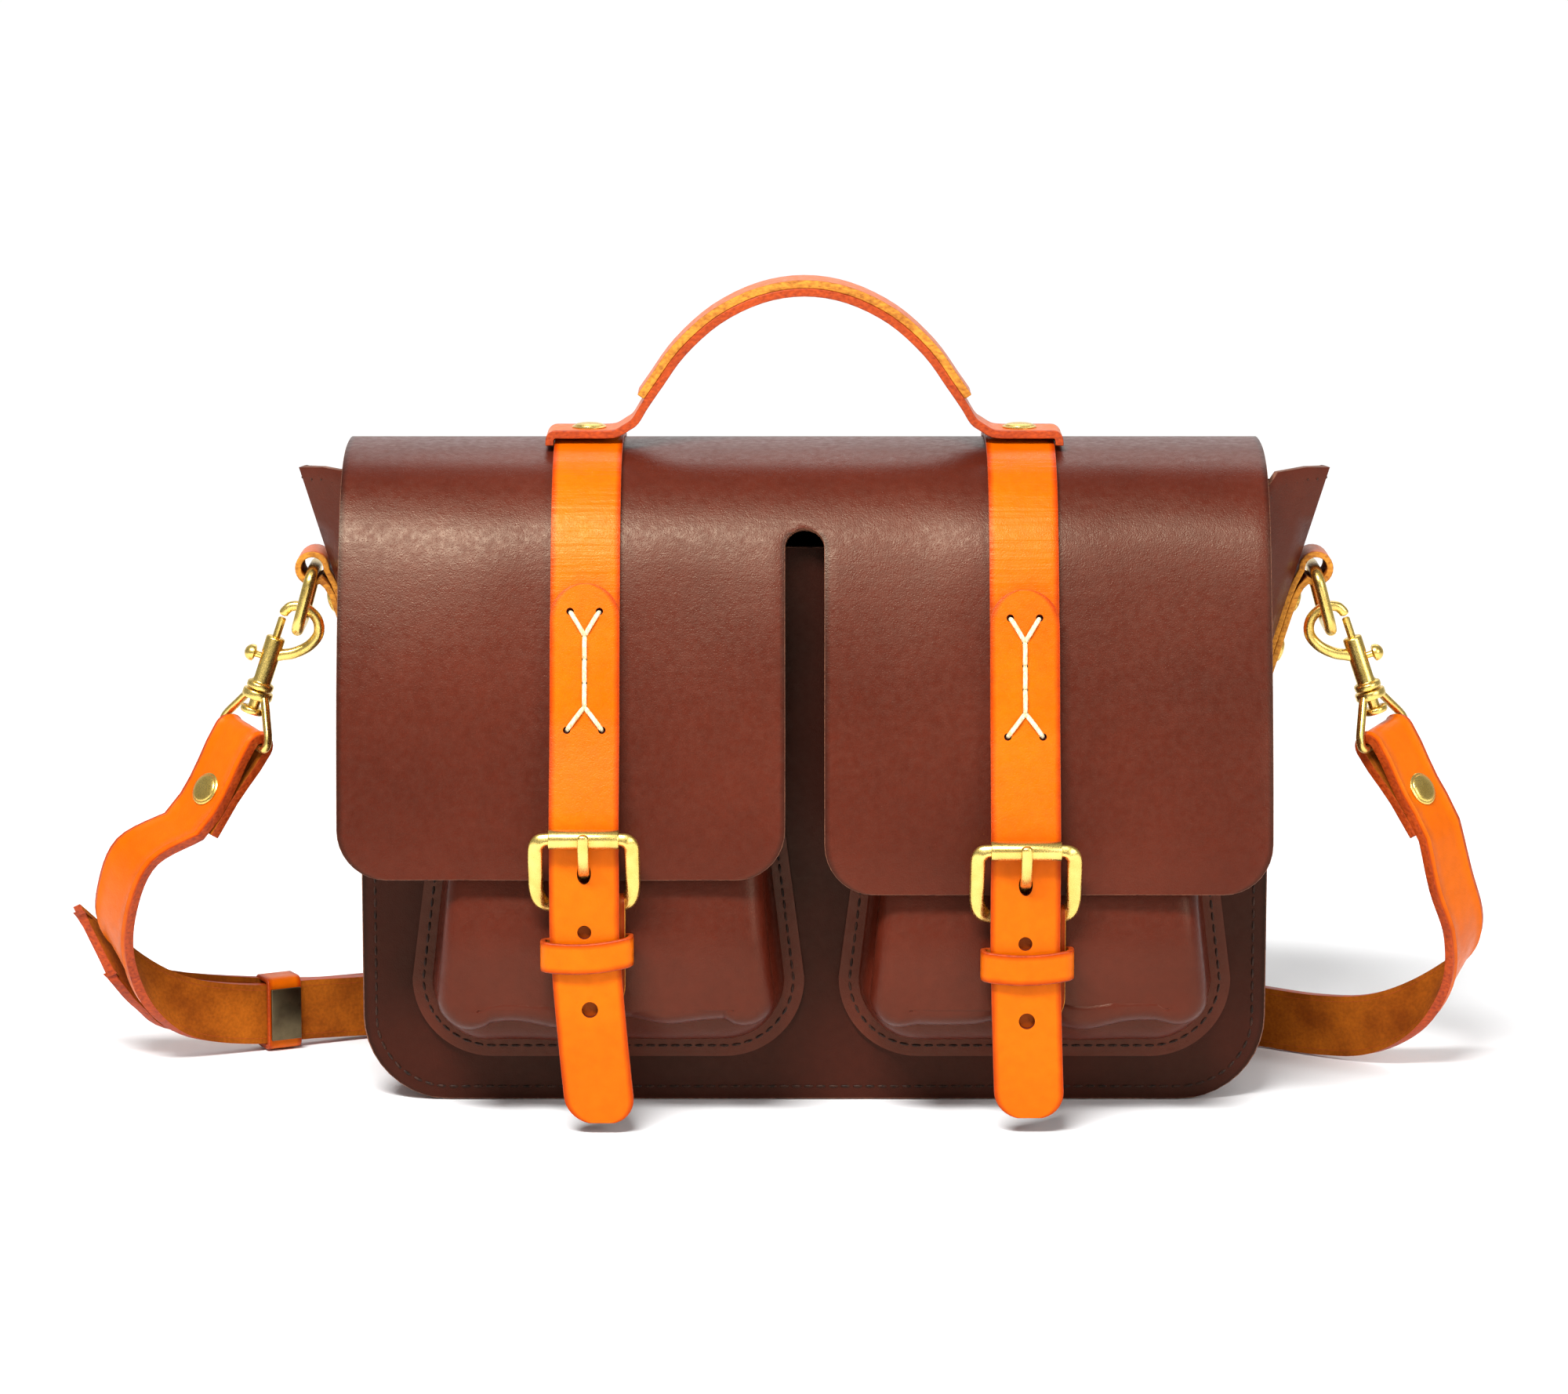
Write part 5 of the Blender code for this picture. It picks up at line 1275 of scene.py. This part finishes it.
def stirrup(side, sign):
    """Swivel collar and the triangular wire that the strap is folded on."""
    place = hook_placing(sign) @ Matrix.Rotation(STIRRUP_TURN * sign, 4, "Z")
    profile = [(2.45, -20.1), (4.7, -20.1), (5.2, -20.3), (5.45, -20.8), (5.45, -22.5), (5.2, -23.0),
               (4.7, -23.2), (2.45, -23.2), (2.45, -20.1)]
    name = f"stirrup_{side}"
    finish(lathe(name, profile, place, 48), "root", "satin_brass", name)
    half = [(4.2, -21.6), (6.3, -24.2), (9.2, -28.2), (12.4, -32.6), (13.6, -35.0), (13.6, -37.0),
            (12.4, -38.3), (10.4, -STIRRUP_REACH), (4.0, -STIRRUP_REACH)]
    route = [(x, 0.0, z) for x, z in half] + [(-x, 0.0, z) for x, z in reversed(half)]
    points = smooth([place @ Vector(p) for p in route], 4)
    across = place.to_3x3() @ Vector((0.0, 1.0, 0.0))
    section = oval(STIRRUP_WIRE, STIRRUP_WIRE * 1.15, 2.6)
    finish(sweep(f"{name}_wire", points, across, section), "root", "satin_brass")


# ---------------------------------------------------------------- shoulder strap

def fold_frame(sign):
    """Bar centre, bar direction (towards the front), run to the rivet and outward side of the fold."""
    place = hook_placing(sign)
    bar = place @ Vector((0.0, 0.0, -STIRRUP_REACH))
    along_bar = place.to_3x3() @ Matrix.Rotation(STIRRUP_TURN * sign, 3, "Z") @ Vector((1.0, 0.0, 0.0))
    if along_bar.y > 0:
        along_bar = -along_bar
    run = mirrored((0.55, -0.10, -0.83), sign)
    run = (run - along_bar * run.dot(along_bar)).normalized()
    out = run.cross(along_bar).normalized()
    return bar, along_bar, run, out if out.y < 0 else -out


def band(name, sign, stations, outward, slant=0.0):
    """A band through (middle, width direction) stations, with a creased line inside each edge.
    Outward is its grain side at the fold; slant is how far the last end's upper corner runs on."""
    half = SHOULDER_WIDTH / 2
    columns = [-half] + [d - half for d in CREASE_LINE] + [-5.0, 0.0, 5.0]
    columns += [half - d for d in reversed(CREASE_LINE)] + [half]
    rows = []
    for i, (middle, across) in enumerate(stations):
        across = Vector(across).normalized()
        before, after = stations[max(i - 1, 0)][0], stations[min(i + 1, len(stations) - 1)][0]
        run = (after - before).normalized()
        normal = across.cross(run).normalized()
        late = clamped((i - (len(stations) - 5)) / 4.0)
        row = []
        for k, c in enumerate(columns):
            shift = run * (slant * late * (half - c) / (2 * half))
            depth = CREASE_DEPTH if k in (2, len(columns) - 3) else 0.0
            row.append(Vector(middle) + across * c + normal * depth * sign + shift)
        rows.append(row)
    front, after = rows[FOLD_FRONT:FOLD_FRONT + 2]
    travel = after[len(columns) // 2] - front[len(columns) // 2]
    if travel.cross(front[-1] - front[0]).dot(outward) < 0:
        rows = [row[::-1] for row in rows]
    return leather(name, rows, SHOULDER_THICKNESS, 0.0, TAN_HIDE, 0.6)


def folded_end(sign):
    """Stations round the stirrup's bar, from the short back layer to the front layer."""
    bar, across, run, out = fold_frame(sign)
    near = SHOULDER_THICKNESS / 2 + GAP / 2
    turn = STIRRUP_WIRE + GAP + SHOULDER_THICKNESS / 2 + 0.5
    shape = [(35.0, -near), (28.0, -near), (21.0, -near), (14.0, -near - 0.7), (7.0, -turn + 0.3)]
    shape += [(turn * math.cos(a), turn * math.sin(a))
              for a in (math.radians(-90 - 18 * k) for k in range(11))]
    shape += [(7.0, turn - 0.3), (14.0, near + 0.7), (21.0, near), (28.0, near), (35.0, near)]
    return [(bar + run * r + out * o, across) for r, o in shape]


def bend(start, places, pieces=6):
    """Smooth stations from the fold through the given places (middle, width direction)."""
    before = [start[-2], start[-1]]
    middles = [m for m, _ in before] + [Vector(m) for m, _ in places]
    acrosses = [a for _, a in before] + [Vector(a) for _, a in places]
    return start[:-1] + list(zip(smooth(middles, pieces), smooth(acrosses, pieces)))[pieces + 1:]


# Middles and width directions, which point to the front at the hooks and down behind the bag
DOWN = (0.0, 0.0, -1.0)
LEFT_STRAP = (
    ((-240.0, -6.0, 82.0), (0.66, -0.74, -0.24)), ((-248.0, -2.0, 64.0), (0.62, -0.77, -0.25)),
    ((-249.0, 4.0, 47.0), (0.52, -0.70, -0.50)), ((-241.0, 12.0, 31.0), (0.30, -0.45, -0.85)),
    ((-226.0, 22.0, 19.0), (0.10, -0.18, -0.98)), ((-204.0, 33.0, 13.9), DOWN),
    ((-184.0, 43.5, 13.4), DOWN), ((-156.0, 58.0, 11.8), DOWN),
    ((-122.0, 71.0, 11.4), DOWN), ((-80.0, 77.0, 11.4), DOWN),
    ((-30.0, 78.0, 11.4), DOWN))
RIGHT_STRAP = (
    ((226.0, -6.0, 72.0), (-0.66, -0.74, -0.24)), ((231.5, -2.0, 54.0), (-0.60, -0.77, -0.25)),
    ((230.0, 3.0, 38.0), (-0.45, -0.70, -0.52)), ((219.0, 9.0, 24.0), (-0.24, -0.40, -0.88)),
    ((202.0, 15.5, 14.5), (-0.06, -0.10, -0.99)), ((184.0, 26.0, 11.6), DOWN),
    ((160.0, 43.0, 11.4), DOWN), ((130.0, 64.0, 11.4), DOWN),
    ((95.0, 78.0, 11.4), DOWN), ((45.0, 81.8, 11.4), DOWN),
    ((-30.0, 81.8, 11.4), DOWN))
TAIL_END_STRAP = (
    ((-232.0, 30.0, 19.5), (0.10, -0.18, -0.98)), ((-246.0, 23.0, 29.5), (0.22, -0.30, -0.93)),
    ((-255.0, 15.0, 41.0), (0.34, -0.36, -0.87)))
STUD_STATION = (-70.0, 81.6, 11.4)
KEEPER_STATION = (-194.0, 38.25, 13.65)
KEEPER_RUN = (20.0, 10.5)             # which way the strap runs there


def outer_layer(stations, distance):
    """Stations moved to the grain side of a strap."""
    moved = []
    for i, (middle, across) in enumerate(stations):
        run = (stations[min(i + 1, len(stations) - 1)][0] - stations[max(i - 1, 0)][0]).normalized()
        side = run.cross(across).normalized()
        moved.append((middle + (side if side.y > 0 else -side) * distance, across))
    return moved


def shoulder_straps():
    left = bend(folded_end(-1.0), LEFT_STRAP)
    right = bend(folded_end(1.0), RIGHT_STRAP)
    over = [s for s in left if s[0].z < 14.5 and s[0].x > -206.0]
    over = [s for s in outer_layer(over, SHOULDER_THICKNESS + GAP + 0.2) if s[0].x < -36.0]
    tail = over[::-6] + [(Vector(m), Vector(a)) for m, a in TAIL_END_STRAP]
    tail = list(zip(smooth([m for m, _ in tail], 6), smooth([a for _, a in tail], 6)))
    for side, sign, name, stations, slant in (("l", -1.0, "shoulder_strap_left", left, 0.0),
                                              ("r", 1.0, "shoulder_strap_right", right + tail, 11.0)):
        bar, across, run, out = fold_frame(sign)
        finish(band(name, sign, stations, out, slant), "root", "tan_leather", name)
        placing = axes_at(bar + run * 22.0 + out * (SHOULDER_THICKNESS + 0.25), across, out)
        rivet(f"shoulder_rivet_{side}", placing, 6.0, 2 * SHOULDER_THICKNESS + 0.4, "root", 4.0, 1.8)
    x, y, z = STUD_STATION
    placing = axes_at((x, y + SHOULDER_THICKNESS / 2, z), (1, 0, 0), (0, 1, 0))
    rivet("shoulder_stud", placing, 4.5, 2 * SHOULDER_THICKNESS + 0.8, "root")
    shoulder_keeper()


def shoulder_keeper():
    """Leather loop that holds the strap's tail, and the metal plate on its inner side."""
    angle = math.atan2(KEEPER_RUN[1], KEEPER_RUN[0])
    run = Vector((math.cos(angle), math.sin(angle), 0.0))
    placing = axes_at(KEEPER_STATION, (-run.y, run.x, 0.0), run)
    outline = rounded_rectangle((-3.2, -12.4), (7.0, 12.4), 1.7)
    rows = [[placing @ p for p in row] for row in loop_rows(outline, 6.5)]
    piece = leather("shoulder_keeper", rows, KEEPER_THICKNESS, 0.0, TAN_HIDE, 0.4)
    finish(piece, "root", "tan_leather", "shoulder_keeper")
    bm = bmesh.new()
    size = Matrix.Diagonal((1.2 * MM, 19.0 * MM, 11.6 * MM, 1.0))
    inside = in_metres(placing @ Matrix.Translation((-5.1, 0.0, 0.0)))
    bmesh.ops.create_cube(bm, size=1.0, matrix=inside @ size)
    plate = mesh_object("keeper_plate", bm, (BRONZE,))
    edge = plate.modifiers.new("edge", "BEVEL")
    edge.width = 0.35 * MM
    edge.segments = 3
    finish(settle(plate), "root", "dark_bronze", "keeper_plate")


# ---------------------------------------------------------------- studio

# Metres from here on
COVE_START = 1.2
FLOOR_DROP = 0.0003
WORLD_STRENGTH = 0.32
# Place, what it is aimed at, size and watts
LAMPS = {"key": ((-0.45, -1.25, 1.72), (0.0, -0.05, 0.15), (1.1, 0.34), 74.0),
         "fill": ((1.3, -1.5, 0.9), (0.0, 0.0, 0.12), (0.9, 0.9), 16.0),
         "back": ((0.3, 1.3, 1.6), (0.0, 0.0, 0.15), (1.4, 0.6), 6.0)}
CAMERA_TARGET = Vector((-0.0106, 0.0, 0.1366))
CAMERA_DISTANCE = 2.0
CAMERA_ELEVATION = math.radians(10.0)
CAMERA_LENS = 129.7
SENSOR_WIDTH = 36.0


def area_light(name, place, target, size, power):
    data = bpy.data.lights.new(name, "AREA")
    data.shape = "RECTANGLE"
    data.size, data.size_y = size
    data.energy = power
    obj = bpy.data.objects.new(name, data)
    bpy.context.scene.collection.objects.link(obj)
    obj.location = place
    obj.rotation_euler = (Vector(target) - Vector(place)).to_track_quat("-Z", "Y").to_euler()


def studio():
    world = bpy.data.worlds.new("studio")
    world.use_nodes = True
    background = world.node_tree.nodes["Background"].inputs
    background["Color"].default_value = (1.0, 1.0, 1.0, 1.0)
    background["Strength"].default_value = WORLD_STRENGTH
    bpy.context.scene.world = world
    bpy.context.scene.view_settings.view_transform = "Standard"
    floor_shade = Shade("floor", 0.6)
    floor_shade.colour((0.93, 0.93, 0.93, 1.0))
    bm = bmesh.new()
    sweep_up = [(y + COVE_START, z + 1.0) for y, z in arc((0.0, 0.0), 1.0, -90, 0, 12)]
    rows = []
    for y, z in [(-3.0, 0.0), (COVE_START, 0.0)] + sweep_up + [(COVE_START + 1.0, 4.0)]:
        rows.append([Vector((x, y, z - FLOOR_DROP)) / MM for x in (-4.0, 4.0)])
    grid(bm, rows[::-1])
    floor = mesh_object("floor", bm, (floor_shade.material,))
    floor.data.shade_smooth()
    for name, lamp in LAMPS.items():
        area_light(name, *lamp)


def camera():
    """At the height and distance of a seated viewer, a little above the bag."""
    data = bpy.data.cameras.new("camera")
    data.lens = CAMERA_LENS
    data.sensor_width = SENSOR_WIDTH
    obj = bpy.data.objects.new("camera", data)
    bpy.context.scene.collection.objects.link(obj)
    way = Vector((0.0, -math.cos(CAMERA_ELEVATION), math.sin(CAMERA_ELEVATION)))
    obj.location = CAMERA_TARGET + way * CAMERA_DISTANCE
    obj.rotation_euler = (CAMERA_TARGET - obj.location).to_track_quat("-Z", "Y").to_euler()
    bpy.context.scene.camera = obj


# ---------------------------------------------------------------- assembly

panel("front_panel", -1, FRONT_TOP)
panel("back_panel", 1, BACK_TOP)
panel_seams()
gusset()
flap()
handle()
for tag, way in SIDES:
    pocket(tag)
    upper_strap(tag, way)
    lower_strap(tag, way)
    buckle(tag, way)
    short_strap(tag, way)
    keeper(tag, way)
    side_tab(tag, way)
    ring(tag, way)
    snap_hook(tag, way)
    stirrup(tag, way)
    for name in (f"strap_snap_{tag}", f"pocket_snap_{tag}"):
        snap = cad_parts[name]
        snap.data.materials.clear()
        snap.data.materials.append(STEEL)
shoulder_straps()
studio()
camera()
